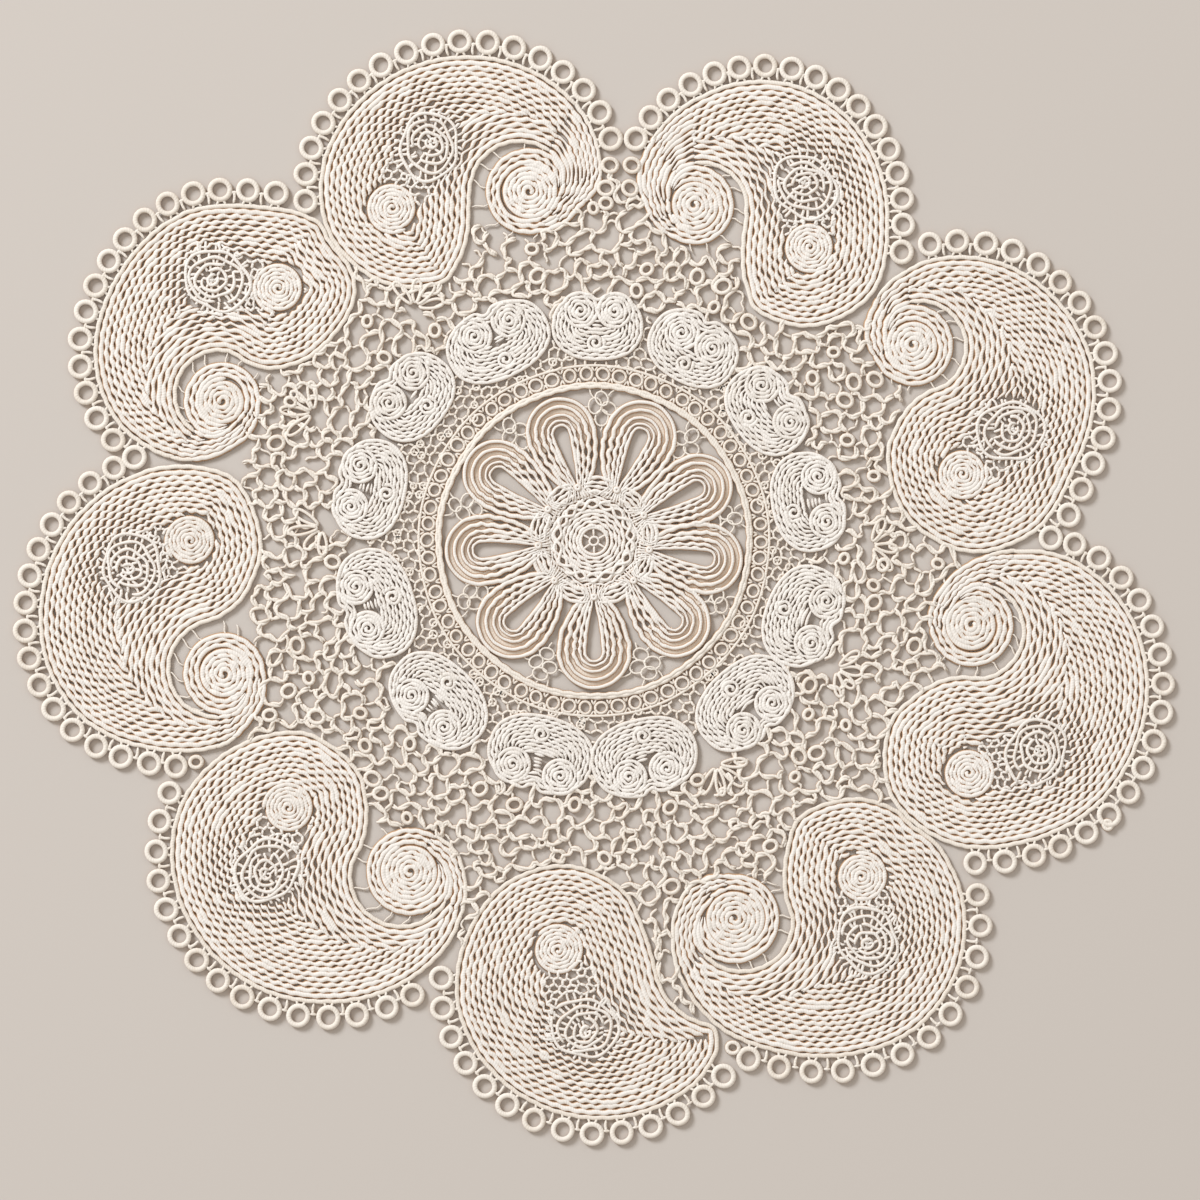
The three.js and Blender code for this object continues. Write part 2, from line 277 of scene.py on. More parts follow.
def addStrand(bundle, line, half, middle, high=None, closed=False, tone=0.5):
    # keeps a path; half width, half height and the height of its middle are one number or one for each
    # point
    count = len(line)
    if count < 2:
        return

    def atPoints(value):
        return np.broadcast_to(np.asarray(value, float), (count,)).copy()

    half, high = atPoints(half), atPoints(half if high is None else high)
    if not closed:
        half[[0, -1]] *= strandEnds["half"]
        high[[0, -1]] *= strandEnds["high"]
        if count > 5:
            half[[1, -2]] *= strandEnds["before"]
    bundle["points"].append(np.column_stack([line, atPoints(middle)]))
    bundle["half"].append(half)
    bundle["high"].append(high)
    bundle["closed"].append(closed)
    bundle["tone"].append(tone)


def roundSection(sides, squareness=0.7):
    # cos a and sin a at equal angles to the power squareness, with one side level on top, and sin a again:
    # how far each corner faces up, which sets the painted shade down the sides
    angle = turn / 4 - turn / (2 * sides) + anglesRound(sides)
    wide, tall = (np.sign(w) * np.abs(w) ** squareness for w in (np.cos(angle), np.sin(angle)))
    return np.stack([wide, tall, np.sin(angle)])


def flaredSection(top, foot, shade):
    # a level top, sides that slope out to a wider foot, and a keel. Rows are the ways across, the ways up,
    # and how far each corner faces up, which sets the painted shade; foot and shade belong to the foot's
    # corners, and the wide foot carries brown painted shade into the gaps between strands
    return np.array([[top, -top, -foot, 0, foot],
                     [0.9, 0.9, -0.5, -1, -0.5],
                     [0.81, 0.81, shade, -1, shade]])


def sweepStrands(bundle, section):
    # carries a section along every path at once: place + across * half width * wide + upward * half height
    # * tall, where across is level and square to the path; open ends are closed with one face. Returns the
    # corners, the four-sided faces, the end faces and the map of both: the way along the path, and the
    # share of the way round
    wide, tall, _ = section
    sides = len(wide)
    counts = np.array([len(p) for p in bundle["points"]])
    starts = np.concatenate([[0], np.cumsum(counts)[:-1]])
    stops = starts + counts - 1
    isClosed = np.array(bundle["closed"], bool)
    points = np.concatenate(bundle["points"])
    half, high = np.concatenate(bundle["half"]), np.concatenate(bundle["high"])
    closed, first, last = (np.repeat(each, counts) for each in (isClosed, starts, stops))
    index = np.arange(len(points))
    after = np.where(index < last, index + 1, np.where(closed, first, index))
    before = np.where(index > first, index - 1, np.where(closed, last, index))
    along = unit(points[after] - points[before])
    across = unit(np.column_stack([-leftOf(along), np.zeros(len(along))]))
    upward = np.cross(across, along)
    # a bend's radius is the product of the sides of the triangle of neighbours over four times its area
    onward, behind = (points[after] - points)[:, :2], (points - points[before])[:, :2]
    fourAreas = 2 * np.abs(onward[:, 0] * behind[:, 1] - onward[:, 1] * behind[:, 0])
    spans = [np.linalg.norm(v, axis=1) for v in (onward, behind, onward + behind)]
    radius = spans[0] * spans[1] * spans[2] / np.maximum(fourAreas, tiny)
    half = np.minimum(half, np.where((spans[0] == 0) | (spans[1] == 0), np.inf, bendRoom * radius))
    corners = (points[:, None]
               + across[:, None] * (half[:, None] * wide)[:, :, None]
               + upward[:, None] * (high[:, None] * tall)[:, :, None])

    run = index[after != index]
    here, there = run[:, None] * sides, after[run][:, None] * sides
    k, kNext = np.arange(sides), (np.arange(sides) + 1) % sides
    quads = np.stack([here + k, there + k, there + kNext, here + kNext], 2).reshape(-1, 4)
    caps = np.vstack([starts[~isClosed][:, None] * sides + k, stops[~isClosed][:, None] * sides + k[::-1]])
    step = np.linalg.norm(points[after] - points, axis=1)
    way = np.cumsum(step) - step
    way = way - way[first]
    u0, u1 = np.repeat(way[run], sides), np.repeat(way[run] + step[run], sides)
    v0, v1 = np.tile(k / sides, len(run)), np.tile((k + 1) / sides, len(run))
    quadMap = np.stack([u0, v0, u1, v0, u1, v1, u0, v1], 1).ravel()
    capMap = np.column_stack([np.repeat(way[caps[:, 0] // sides], sides), np.tile(k / sides, len(caps))])
    return corners, quads, caps, np.concatenate([quadMap, capMap.ravel()])


def strandMesh(name, bundle, section):
    # one mesh of all strands with its thread map, each strand's tone and each corner's facing, which sets
    # the painted shade down its sides
    corners, quads, caps, maps = sweepStrands(bundle, section)
    count, sides = corners.shape[:2]
    mesh = bpy.data.meshes.new(name)
    mesh.vertices.add(count * sides)
    mesh.vertices.foreach_set("co", (corners * mm).astype(np.float32).ravel())
    mesh.loops.add(quads.size + caps.size)
    mesh.loops.foreach_set("vertex_index", np.concatenate([quads.ravel(), caps.ravel()]).astype(np.int32))
    mesh.polygons.add(len(quads) + len(caps))
    starts = np.concatenate([np.arange(len(quads)) * 4, quads.size + np.arange(len(caps)) * sides])
    mesh.polygons.foreach_set("loop_start", starts.astype(np.int32))
    mesh.update(calc_edges=True)
    mesh.validate()
    mesh.shade_smooth()
    mesh.uv_layers.new(name="thread").data.foreach_set("uv", maps.astype(np.float32))
    tones = np.repeat(np.array(bundle["tone"], float), [len(p) * sides for p in bundle["points"]])
    for key, values in (("tone", tones), ("facing", np.tile(section[2], count))):
        mesh.attributes.new(key, "FLOAT", "POINT").data.foreach_set("value", values.astype(np.float32))
    return mesh


def makePiece(name, bundle, section, material, nodes=()):
    # one object from a bundle of strands. It rides on the mat and stands for its CAD pieces
    obj = bpy.data.objects.new(name, strandMesh(name, bundle, section))
    bpy.context.scene.collection.objects.link(obj)
    obj.data.materials.append(cotton[material])
    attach(obj, "root")
    if nodes:
        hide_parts(*nodes)
    faces = len(obj.data.loops) - 2 * len(obj.data.polygons)
    print(f"{name}: {len(bundle['points'])} strands, {faces} triangles")


# cotton

# painted shade: the brown that the sides and feet of every strand take, standing in for the shade between
# threads
paintedShadeBrown = (0.57, 0.37, 0.215)
cottonLooks = {
    "brightCotton": {"light": (0.872, 0.87, 0.866), "dark": (0.782, 0.763, 0.735), "paintedShade": paintedShadeBrown},
    "warmCotton": {"light": (0.86, 0.838, 0.802), "dark": (0.775, 0.728, 0.666), "paintedShade": paintedShadeBrown},
    # painted shade: the tan of the low tape between each two petal loops, standing in for the shaded floor
    # there
    "paintedShadeTan": {"light": (0.83, 0.775, 0.705), "dark": (0.75, 0.69, 0.62), "paintedShade": (0.48, 0.375, 0.275)},
}
threadLook = {
    "rough": 0.8,
    "sheen": (0.1, 0.6),      # how much, and how rough
    "specular": 0.3,
    "patches": (900, 3),      # the scale and the detail of the fine noise
    "noise": 0.9,             # what the noise adds to the mix of the two colours
    "tone": (0.35, -0.05),    # what a strand's own tone adds: share * tone + shift
    "mix": (0.2, 0.62),       # the mixes at which a thread is all dark and all light
    "facing": (-0.15, 0.5),   # from the painted shade's colour, down a strand's sides, to the thread's own
    "twist": 0.9,             # in the thread map's mm, for one ply's full turn
    "plies": 2,
    "bump": (0.35, 0.00006),  # how strong, and how deep in metres
}


def cottonMaterial(name, light, dark, paintedShade):
    # two thread colours mixed by a fine noise and by each strand's own tone, going over to a brown painted
    # shade down the sides of a strand, with a bump of plies that wind round it: sin of turn * (plies * way
    # round + way along / twist)
    material = bpy.data.materials.new(name)
    material.use_nodes = True
    tree = material.node_tree
    tree.nodes.clear()

    def node(kind, inputs, **settings):
        # a node whose inputs take numbers, colours or another node's output; returns its outputs
        made = tree.nodes.new("ShaderNode" + kind)
        for key, value in settings.items():
            setattr(made, key, value)
        for key, value in inputs.items():
            if isinstance(value, bpy.types.NodeSocket):
                tree.links.new(value, made.inputs[key])
            else:
                made.inputs[key].default_value = value
        return made.outputs

    scale, detail = threadLook["patches"]
    coords = node("TexCoord", {})
    patches = node("TexNoise", {"Vector": coords["Object"], "Scale": scale, "Detail": detail})
    tone = node("Attribute", {}, attribute_name="tone")
    share, shift = threadLook["tone"]
    lift = node("Math", {0: tone["Fac"], 1: share, 2: shift}, operation="MULTIPLY_ADD")
    mix = node("Math", {0: patches["Fac"], 1: threadLook["noise"], 2: lift[0]}, operation="MULTIPLY_ADD")
    colours = node("ValToRGB", {"Fac": mix[0]})
    for stop, at, colour in zip(colours[0].node.color_ramp.elements, threadLook["mix"], (dark, light)):
        stop.position = at
        stop.color = (*colour, 1)

    # painted shade: where a corner faces less upward, down the sides and on the foot, the colour goes over
    # to the brown painted shade
    facing = node("Attribute", {}, attribute_name="facing")
    start, end = threadLook["facing"]
    upward = node("MapRange", {"Value": facing["Fac"], "From Min": start, "From Max": end},
                  interpolation_type="SMOOTHSTEP")
    sides = {"Factor": upward["Result"], "A": (*paintedShade, 1), "B": colours["Color"]}
    colour = node("Mix", sides, data_type="RGBA")

    split = node("SeparateXYZ", {0: node("UVMap", {}, uv_map="thread")[0]})
    around = node("Math", {0: split["Y"], 1: turn * threadLook["plies"]}, operation="MULTIPLY")
    perLength = turn / threadLook["twist"]
    wound = node("Math", {0: split["X"], 1: perLength, 2: around[0]}, operation="MULTIPLY_ADD")
    wave = node("Math", {0: wound[0]}, operation="SINE")
    strength, depth = threadLook["bump"]
    bump = node("Bump", {"Height": wave[0], "Strength": strength, "Distance": depth})

    sheen, sheenRough = threadLook["sheen"]
    shader = node("BsdfPrincipled", {
        "Base Color": colour["Result"], "Normal": bump[0], "Roughness": threadLook["rough"],
        "Sheen Weight": sheen, "Sheen Roughness": sheenRough, "Specular IOR Level": threadLook["specular"]})
    node("OutputMaterial", {0: shader[0]})
    return material


cotton = {name: cottonMaterial(name, **look) for name, look in cottonLooks.items()}


# rows with slits, laid at equal depths inside an outline

rowLook = {
    "pitch": 1.74,         # from one row to the next
    "edge": 0.85,          # the first row's depth
    "slit": 4.3,           # from one slit to the next along a row
    "opening": 0.7,        # how far each of the two strands draws back at a slit
    "fill": 1.12,          # the share of its room that a strand takes where no slit is open
    "least": 0.62,         # the narrowest a strand gets
    "most": 1.46,          # and the widest
    "long": (0.31, 0.13),  # half a slit's length as a share of the step, and how much more chance may add
    "slant": 0.1,          # how far along a slit's two edges are set off, as a share of its length
    "packed": 0.62,        # the opening's share in rows that are packed
    "roomy": 1.6,          # slits open further with the room, up to this many pitches
    "strandHigh": 0.55,    # half the height of a strand
    "middle": 0.98,        # the height of a strand's middle
    "step": 0.74,          # from point to point along a strand
    "shortest": 2.2,       # shorter strands are left out, and ends narrow over this length
    "end": 0.6,            # to this share of the width
    "soften": 2.4,         # how far along the outline its corners are eased
    "roundAt": (),         # places (x, y, reach) where the outline is rounded further
    "rows": 40,            # at most
}
# how square a slit's hump is, its least opening and what chance may add, and the share that stay shut
slitLook = {"power": 0.75, "open": (0.72, 0.38), "shut": 0.05}
# how far chance moves slits, and the spans, in slits, over which one is put in and under which one goes
slitSpread = {"first": 0.3, "stray": 0.34, "sparse": 1.5, "crowded": 1.3}
# how strands wander: how far in mm, or as a share of the height, over what length, and the shift from row
# to row
rowStray = {"aside": (0.1, 7.0, 3.7), "up": (0.05, 3.1, 7.3), "swell": (0.06, 9.0, 3.1),
            "height": (0.1, 4.0, 5.7)}
# shares of the pitch: how near to its own depth a row stays, and how far it may pass the line where two
# sides meet
rowReach = {"own": 0.28, "leaning": 0.4, "past": 0.55}
wideSlits = {"more": 0.4, "reach": 12}  # how much wider slits open near a web, and how far round it
# how far a coil's strand wanders up and down and in height, and over how many steps
coilStray = {"up": (0.12, 138), "height": (0.08, 102)}


def stray(kind, along, row, seed):
    # far * drift(way along / length + shift * row)
    far, length, shift = rowStray[kind]
    return far * drift(along / length + shift * row, seed)


def slitsAt(phase, row, seed, long):
    # how open the gap is, from 0 to 1: a rounded hump in the middle of each whole step of phase, whose
    # size and length are its own, and a few stay shut
    cell = np.floor(phase)
    aside = phase - cell - 0.5
    size = chance(cell + 57.0 * row, seed)
    half = long[0] + long[1] * chance(cell + 31.0 * row, seed + 1)
    hump = np.clip(1 - (aside / half) ** 2, 0, 1) ** slitLook["power"]
    least, more = slitLook["open"]
    return hump * (least + more * size) * (size > slitLook["shut"])


def slitPhases(lengths, total, whole, slit, seed):
    # lengths holds, for each gap between rows, the way along it up to every column, and total its whole
    # length. The first gap's slits lie at even steps; each next gap has one halfway between every two of
    # the last, one more where they would lie far apart and fewer where they crowd. Phase counts slits: 0.5
    # more than a whole number at a slit's middle
    columns = np.arange(lengths.shape[1])
    phases = np.empty(lengths.shape)
    number = np.arange(max(int(round(total[0] / slit)), 3))
    at = total[0] * (number + 0.5 + slitSpread["first"] * (chance(number, seed) - 0.5)) / len(number)
    for j in range(len(lengths)):
        if j:
            # columns back to lengths along this gap, halfway points, then the sparse and the crowded ones
            here = np.interp(at, columns, lengths[j])
            after = np.append(here[1:], here[0] + total[j]) if whole else here[1:]
            here = here[:len(after)]
            at = (here + after) / 2
            span = np.diff(np.append(at, at[0] + total[j])) if whole else np.diff(at)
            moved = chance(np.arange(len(at)) + 37.0 * j, seed + 1) - 0.5
            at = at + slitSpread["stray"] * (after - here) * moved
            sparse = np.flatnonzero(span > slitSpread["sparse"] * slit)
            added = at[sparse] + span[sparse] / 2
            if whole:
                around = span + np.roll(span, 1)
            else:
                around = np.append(span, span[-1:]) + np.append(span[:1], span)
            crowded = (around < slitSpread["crowded"] * slit) & ((np.arange(len(at)) + j) % 2 == 0)
            at = np.sort(np.concatenate([at[~crowded], added]))
        if len(at) < 2:
            at = total[j] * np.array([0.25, 0.75])
        if whole:
            at = np.sort(np.mod(at, total[j]))
            line = np.concatenate([[at[-1] - total[j]], at, [at[0] + total[j]]])
        else:
            line = np.concatenate([[2 * at[0] - at[1]], at, [2 * at[-1] - at[-2]]])
        phases[j] = np.interp(lengths[j], line, np.arange(len(line)) - 0.5)
        at = np.interp(at, lengths[j], columns)
    return phases


def weave(bundle, grid, kept, whole, seed, look, packed=0, widen=1.0, fill=None, rim=None):
    # a strand along every row of a grid of places. The gap between two rows opens into slits, half a step
    # on from row to row; a strand gives way on the side where a slit is open and fills the rest of its
    # room. The first row may go to a bundle of its own, the rim
    count, columns = grid.shape[:2]
    apart = np.linalg.norm(grid[1:] - grid[:-1], axis=2)
    room = np.concatenate([apart[:1], (apart[1:] + apart[:-1]) / 2, apart[-1:]])
    across = unit(np.gradient(grid, axis=0))
    between = (grid[1:] + grid[:-1]) / 2
    lengths = np.linalg.norm(np.roll(between, -1, axis=1) - between, axis=2)
    lengths[:, -1] *= whole
    upTo = np.concatenate([np.zeros((count - 1, 1)), np.cumsum(lengths, axis=1)], 1)
    phase = slitPhases(upTo[:, :-1], upTo[:, -1], whole, look["slit"], seed + 3)
    inner, outer = np.zeros(grid.shape[:2]), np.zeros(grid.shape[:2])
    for j in range(count - 1):
        inner[j] = slitsAt(phase[j] + look["slant"], j, seed, look["long"])
        outer[j + 1] = slitsAt(phase[j] - look["slant"], j, seed, look["long"])
    # slits open further where there is more room, and strands give up a little of theirs where slits widen
    scale = look["opening"] * np.minimum(room / look["pitch"], look["roomy"]) * widen
    scale[:packed] *= look["packed"]
    full = room * (look["fill"] if fill is None else fill) / np.maximum(widen, 1) ** 0.3
    inner, outer = inner * scale, outer * scale
    width = np.maximum(full - inner - outer, np.minimum(look["least"], full))
    width = np.minimum(width, look["most"])
    for j in range(count):
        aside = (outer[j] - inner[j]) / 2 + stray("aside", np.arange(columns) * look["step"], j, seed + 14)
        line = grid[j] + across[j] * aside[:, None]
        for start, end, isWhole in runsOf(kept[j]):
            closed = isWhole and whole
            at = np.arange(start, end + 1 + closed) % columns
            along = lengthsAlong(line[at])
            if along[-1] < look["shortest"]:
                continue
            pieces = max(int(round(along[-1] / look["step"])), 2)
            where = along[-1] * np.arange(pieces + 1 - closed) / pieces
            path = np.stack([np.interp(where, along, line[at, k]) for k in (0, 1)], 1)
            half = np.interp(where, along, width[j, at]) / 2
            if not closed:
                toEnd = np.minimum(where, along[-1] - where) / look["shortest"]
                half = half * (look["end"] + (1 - look["end"]) * np.clip(toEnd, 0, 1))
            middle = look["middle"] + stray("up", where, j, seed + 11) + stray("swell", where, j, seed + 12)
            high = look["strandHigh"] * (0.93 + stray("height", where, j, seed + 13))
            addStrand(bundle if rim is None or j else rim, path, half, middle, high, closed,
                      float(chance(j * 13 + start, seed + 5)))


def layRows(bundle, outline, seed, look, allowed, lean=None, packed=0, loose=None, rim=None):
    # row j follows the outline at depth edge + pitch * j and is kept where no other part of the outline is
    # nearer. allowed says where rows may lie. lean is a test for one side of the outline and the share by
    # which its rows reach further than the other side's; loose is a circle near which the slits widen
    pitch = look["pitch"]
    step = look["step"] * 0.6  # finer than along a strand
    line = evenly(outline, step, closed=True)
    if area(line) < 0:
        line = line[::-1]
    line = softened(line, look["soften"] / step)
    for x, y, reach in look["roundAt"]:
        share = 1 - fade(awayFrom(line, (x, y)), 0.3 * reach, reach)
        line = line + (softened(line, reach / 2 / step) - line) * share[:, None]
    inward = leftOf(unit(np.roll(line, -1, axis=0) - np.roll(line, 1, axis=0)))
    depths = (look["edge"] + pitch * np.arange(look["rows"]))[:, None]
    grid = line[None] + inward[None] * depths[:, :, None]
    if lean is None:
        kept = distanceTo(grid, line) >= depths - rowReach["own"] * pitch
    else:
        isOuter, leanAt = lean[0](line), lean[1](grid)
        toOuter, toInner = distanceTo(grid, line[isOuter]), distanceTo(grid, line[~isOuter])
        own, other = np.where(isOuter, toOuter, toInner), np.where(isOuter, toInner, toOuter)
        limit = np.where(isOuter, leanAt, 1 / leanAt) * other
        kept = (own >= depths - rowReach["leaning"] * pitch) & (depths <= limit + rowReach["past"] * pitch)
    kept &= allowed(grid)
    used = min(max(int(np.flatnonzero(kept.any(1)).max()) + 2, 2), look["rows"])
    grid, kept = grid[:used], kept[:used]
    widen = 1.0
    if loose is not None:
        x, y, radius = loose
        beyond = fade(awayFrom(grid, (x, y)), radius, radius + wideSlits["reach"])
        widen = 1 + wideSlits["more"] * (1 - beyond)
    weave(bundle, grid, kept, True, seed, look, packed, widen, rim=rim)


def layCoil(bundle, centre, inner, outer, seed, look, start, clockwise=False, groove=None):
    # one strand that winds outwards: radius = inner + pitch * angle / full turn. The gap to the next round
    # opens into slits, and a groove is an arc (radius, middle, half span, opening) where it stands open
    pitch = look["pitch"]
    rounds = (outer - inner) / pitch
    sense = -1 if clockwise else 1
    count = int(math.ceil(math.pi * (inner + outer) * rounds / look["step"]))
    share = np.linspace(0, 1, count + 1)
    radiusAt = np.sqrt(inner ** 2 + share * (outer ** 2 - inner ** 2))
    angle = turn * (radiusAt - inner) / pitch

    def gapAt(a, slant):
        radius = inner + pitch * a / turn
        along = inner * a + pitch * a * a / (2 * turn)
        opening = slitsAt(along / look["slit"] + slant, 0, seed, look["long"]) * look["opening"]
        if groove:
            atRadius, middleAngle, halfSpan, width = groove
            aside = shortAngle(math.radians(start) + sense * a - math.radians(middleAngle))
            window = np.clip(1 - (aside / math.radians(halfSpan)) ** 2, 0, 1) ** 0.5
            closeBy = np.abs(radius + pitch / 2 - atRadius) < pitch / 2
            opening = np.maximum(opening, window * closeBy * width)
        return np.where((a < 0) | (a > turn * rounds - turn), 0, opening)

    innerGap, outerGap = gapAt(angle - turn, look["slant"]), gapAt(angle, -look["slant"])
    radius = radiusAt + (innerGap - outerGap) / 2
    half = np.maximum(pitch * look["fill"] - innerGap - outerGap, look["least"]) / 2
    path = radius[:, None] * ray(math.radians(start) + sense * angle) + centre
    (up, upSteps), (swell, swellSteps) = coilStray["up"], coilStray["height"]
    middle = look["middle"] + up * drift(share * upSteps, seed + 21)
    high = look["strandHigh"] * (0.95 + swell * drift(share * swellSteps, seed + 22))
    addStrand(bundle, path, half, middle, high, tone=float(chance(seed, 4)))


# nets: seeds joined into triangles, whose middles are joined by threads round cells

def gridSeeds(lowest, size, look, seed):
    # every second row of a grid moves half a step, and each seed strays a little
    cell = look["cell"]
    rowStep = 0.87  # rows lie this share of a cell apart
    columns, rows = int(size[0] / cell) + 4, int(size[1] / (cell * rowStep)) + 4
    i, j = (a.ravel() for a in np.meshgrid(np.arange(columns), np.arange(rows)))
    number = i * 131 + j * 17
    strayX, strayY = (look["jitter"] * (2 * chance(number, s) - 1) for s in (seed, seed + 0.37))
    x = lowest[0] + cell * (i - 1.5 + 0.5 * (j % 2) + strayX)
    y = lowest[1] + cell * (rowStep * (j - 1.5) + strayY)
    return np.stack([x, y], 1)


def cellNet(seeds):
    # the seeds are joined into triangles; the middles of two triangles that share a side are the ends of a
    # thread. Returns the middles and the pairs of middles
    found = geometry.delaunay_2d_cdt([Vector((float(a), float(b))) for a, b in seeds], [], [], 0, 1e-5)
    places = np.array([(p.x, p.y) for p in found[0]])
    faces = np.array([f for f in found[2] if len(f) == 3])
    sides = np.sort(np.vstack([faces[:, [0, 1]], faces[:, [1, 2]], faces[:, [2, 0]]]), axis=1)
    owner = np.tile(np.arange(len(faces)), 3)
    order = np.lexsort((sides[:, 1], sides[:, 0]))
    sides, owner = sides[order], owner[order]
    same = (sides[1:] == sides[:-1]).all(1)
    return places[faces].mean(1), np.stack([owner[:-1][same], owner[1:][same]], 1)


def bowed(ends, bow, sway, steps):
    # from one end to the other with a sideways bend: bow * sin(half turn * t) + sway * sin(full turn * t).
    # Bow and sway are one number, or one for each thread
    t = np.linspace(0, 1, steps + 1)
    along = ends[:, 1] - ends[:, 0]
    bend = np.reshape(bow, (-1, 1)) * np.sin(math.pi * t) + np.reshape(sway, (-1, 1)) * np.sin(turn * t)
    return ends[:, :1] + along[:, None] * t[None, :, None] + leftOf(along)[:, None] * bend[:, :, None]


leastWeight, moreWeight = 0.85, 0.3  # a thread's own thickness: the least share, and what chance may add


def layThreads(bundle, ends, look, seed):
    # threads from end to end, each bent and swayed by its own amount and thicker where it meets others
    number = np.arange(len(ends))
    bow = look["bow"] * (2 * chance(number, seed + 3) - 1)
    sway = look["sway"] * (2 * chance(number, seed + 4) - 1)
    t = np.linspace(0, 1, look["steps"] + 1)
    thick = look["half"] * (1 + look["knot"] * np.abs(2 * t - 1) ** 3)
    weight = leastWeight + moreWeight * chance(number, seed + 5)
    middle = look["middle"] + look["rise"] * (2 * chance(number, seed + 6) - 1)
    tone = chance(number, seed + 7)
    for n, path in enumerate(bowed(ends, bow, sway, look["steps"])):
        addStrand(bundle, path, thick * weight[n], middle[n], tone=float(tone[n]))


def layNet(bundle, allowed, seeds, look, seed):
    # the threads of a cell net whose middle lies where it is allowed; some meeting points carry a ring
    middles, pairs = cellNet(seeds)
    keep = allowed(middles[pairs].mean(1)) & (chance(np.arange(len(pairs)), seed + 2) > look["missing"])
    pairs = pairs[keep]
    layThreads(bundle, middles[pairs], look, seed)
    used = np.unique(pairs)
    for n in used[chance(used, seed + 8) < look["rings"]]:
        least, more, half, middle = look["ring"]
        layRing(bundle, middles[n], least + more * float(chance(n, seed + 9)), half, middle, 12, seed + n)


def layRing(bundle, centre, radius, half, middle, count, seed, oval=0.0):
    # a closed ring, a little oval: radius * (1 + oval * cos 2 * (angle - lean))
    angle = anglesRound(count)
    lean = turn * float(chance(seed, 31))
    reach = radius * (1 + oval * np.cos(2 * (angle - lean)))
    addStrand(bundle, centre + reach[:, None] * ray(angle), half, middle, closed=True,
              tone=float(chance(seed, 32)))


# webs in the lobes

webLook = {"cell": 3.0, "jitter": 0.3, "bow": 0.14, "sway": 0.08, "steps": 4, "half": 0.39, "middle": 0.95,
           "rise": 0.15, "knot": 0.5, "missing": 0.04, "rings": 0}
webArcs = {
    "first": 1.7,           # the first arc's radius
    "apart": 2.1,           # from one arc to the next
    "shift": (-1.0, 0.16),  # how far an arc's middle lies towards the rosette: always, and per radius
    "wander": (0.1, 0.04),  # two and five waves round an arc, as shares of its radius
    "gap": 0.14,            # the most of a full turn that an arc leaves out
    "half": 0.48,
    "swell": (0.18, 2.5),   # how much the width swells, and over how many points
    "middle": (1.15, 0.1),  # the height of the middle, and how much higher every second arc lies
    "bars": 2.3,            # from one bar to the next
    "strayAlong": 0.5,      # how far chance moves a bar along, in steps
    "lean": 0.5,
    "missing": 0.05,
    "spokes": (5, 0.45, -0.7),  # how many, how far apart they start, and how far towards the rosette
    "step": 0.8,
    "fewest": 6,            # arcs of fewer points are left out
}
# the small cells beside the web: how far the edge's middle is set off towards the rosette, how far they
# reach to all sides, and how far inside that round edge their seeds and their threads may lie
webBeside = {"middle": 0.5, "reach": 13, "seeds": 0.2, "threads": 0.6}


def layWeb(bundle, rosette, centre, between, allowed, reach, seed):
    # arcs at equal steps round the web's middle, which drift towards the rosette as they grow, bars from
    # each arc to the next, spokes inside the first arc, and a net of small cells beside the rosette.
    # radius = (first + apart * k) * (1 + wander * waves)
    toRosette = (rosette - centre) / np.linalg.norm(rosette - centre)
    first, apart = webArcs["first"], webArcs["apart"]
    arcs = int((reach + lobeLook["webOver"] - first) / apart) + 1

    def arc(k, a):
        radius = first + apart * k
        twoWaves, fiveWaves = webArcs["wander"]
        wander = twoWaves * np.sin(2 * a + seed + 0.7 * k) + fiveWaves * np.sin(5 * a + 2.1 * k + seed)
        shift, growth = webArcs["shift"]
        return centre + toRosette * (growth * radius + shift) + (radius * (1 + wander))[:, None] * ray(a)

    (swell, reachOfSwell), (low, every) = webArcs["swell"], webArcs["middle"]
    angle = anglesRound(180)
    for k in range(arcs):
        path = arc(k, angle)
        kept = allowed(path)
        if k < arcs - 1:
            past = np.mod(angle - turn * float(chance(k, seed + 4)), turn)
            kept &= past >= turn * webArcs["gap"] * float(chance(k, seed + 3))
        for start, end, isWhole in runsOf(kept):
            at = np.arange(start, end + 1) % len(path)
            if len(at) < webArcs["fewest"]:
                continue
            line = evenly(path[at], webArcs["step"], closed=isWhole)
            half = webArcs["half"] * (1 + swell * drift(np.arange(len(line)) / reachOfSwell, seed + k + 5))
            addStrand(bundle, line, half, low + every * (k % 2), closed=isWhole,
                      tone=float(chance(k, seed + 9)))
    for k in range(arcs):
        n = np.arange(max(int(turn * (first + apart * (k + 0.5)) / webArcs["bars"]), 5))
        number = n + 50 * k
        strayed = n + webArcs["strayAlong"] * (chance(number, seed + 6) - 0.5)
        a = turn * (strayed + 0.5 * k) / len(n)
        lean = a + webArcs["lean"] * (chance(number, seed + 7) - 0.5) / (k + 1)
        ends = np.stack([arc(k, a), arc(k + 1, lean)], 1)
        past = (k == arcs - 1) & (awayFrom(ends[:, 1], rosette) > lobeLook["rosette"])
        keep = (allowed(ends.mean(1)) | past) & (chance(number, seed + 8) > webArcs["missing"])
        layThreads(bundle, ends[keep], webLook, seed + 60 + k)
    spokes, spread, shift = webArcs["spokes"]
    n = np.arange(spokes)
    starts = centre + toRosette * shift + spread * ray(2.4 * n)
    stops = arc(0, turn * (n + 0.3 * chance(n, seed + 9)) / spokes)
    layThreads(bundle, np.stack([starts, stops], 1), webLook, seed + 90)

    # the small cells
    side = webBeside["reach"]
    seeds = gridSeeds(between - side, (2 * side, 2 * side), webLook, seed + 1)
    middle = centre + webBeside["middle"] * toRosette
    seeds = seeds[awayFrom(seeds, middle) > reach - webBeside["seeds"]]

    def beside(places):
        return allowed(places) & (awayFrom(places, middle) > reach - webBeside["threads"])

    layNet(bundle, beside, seeds, webLook, seed + 2)


# paisley lobes

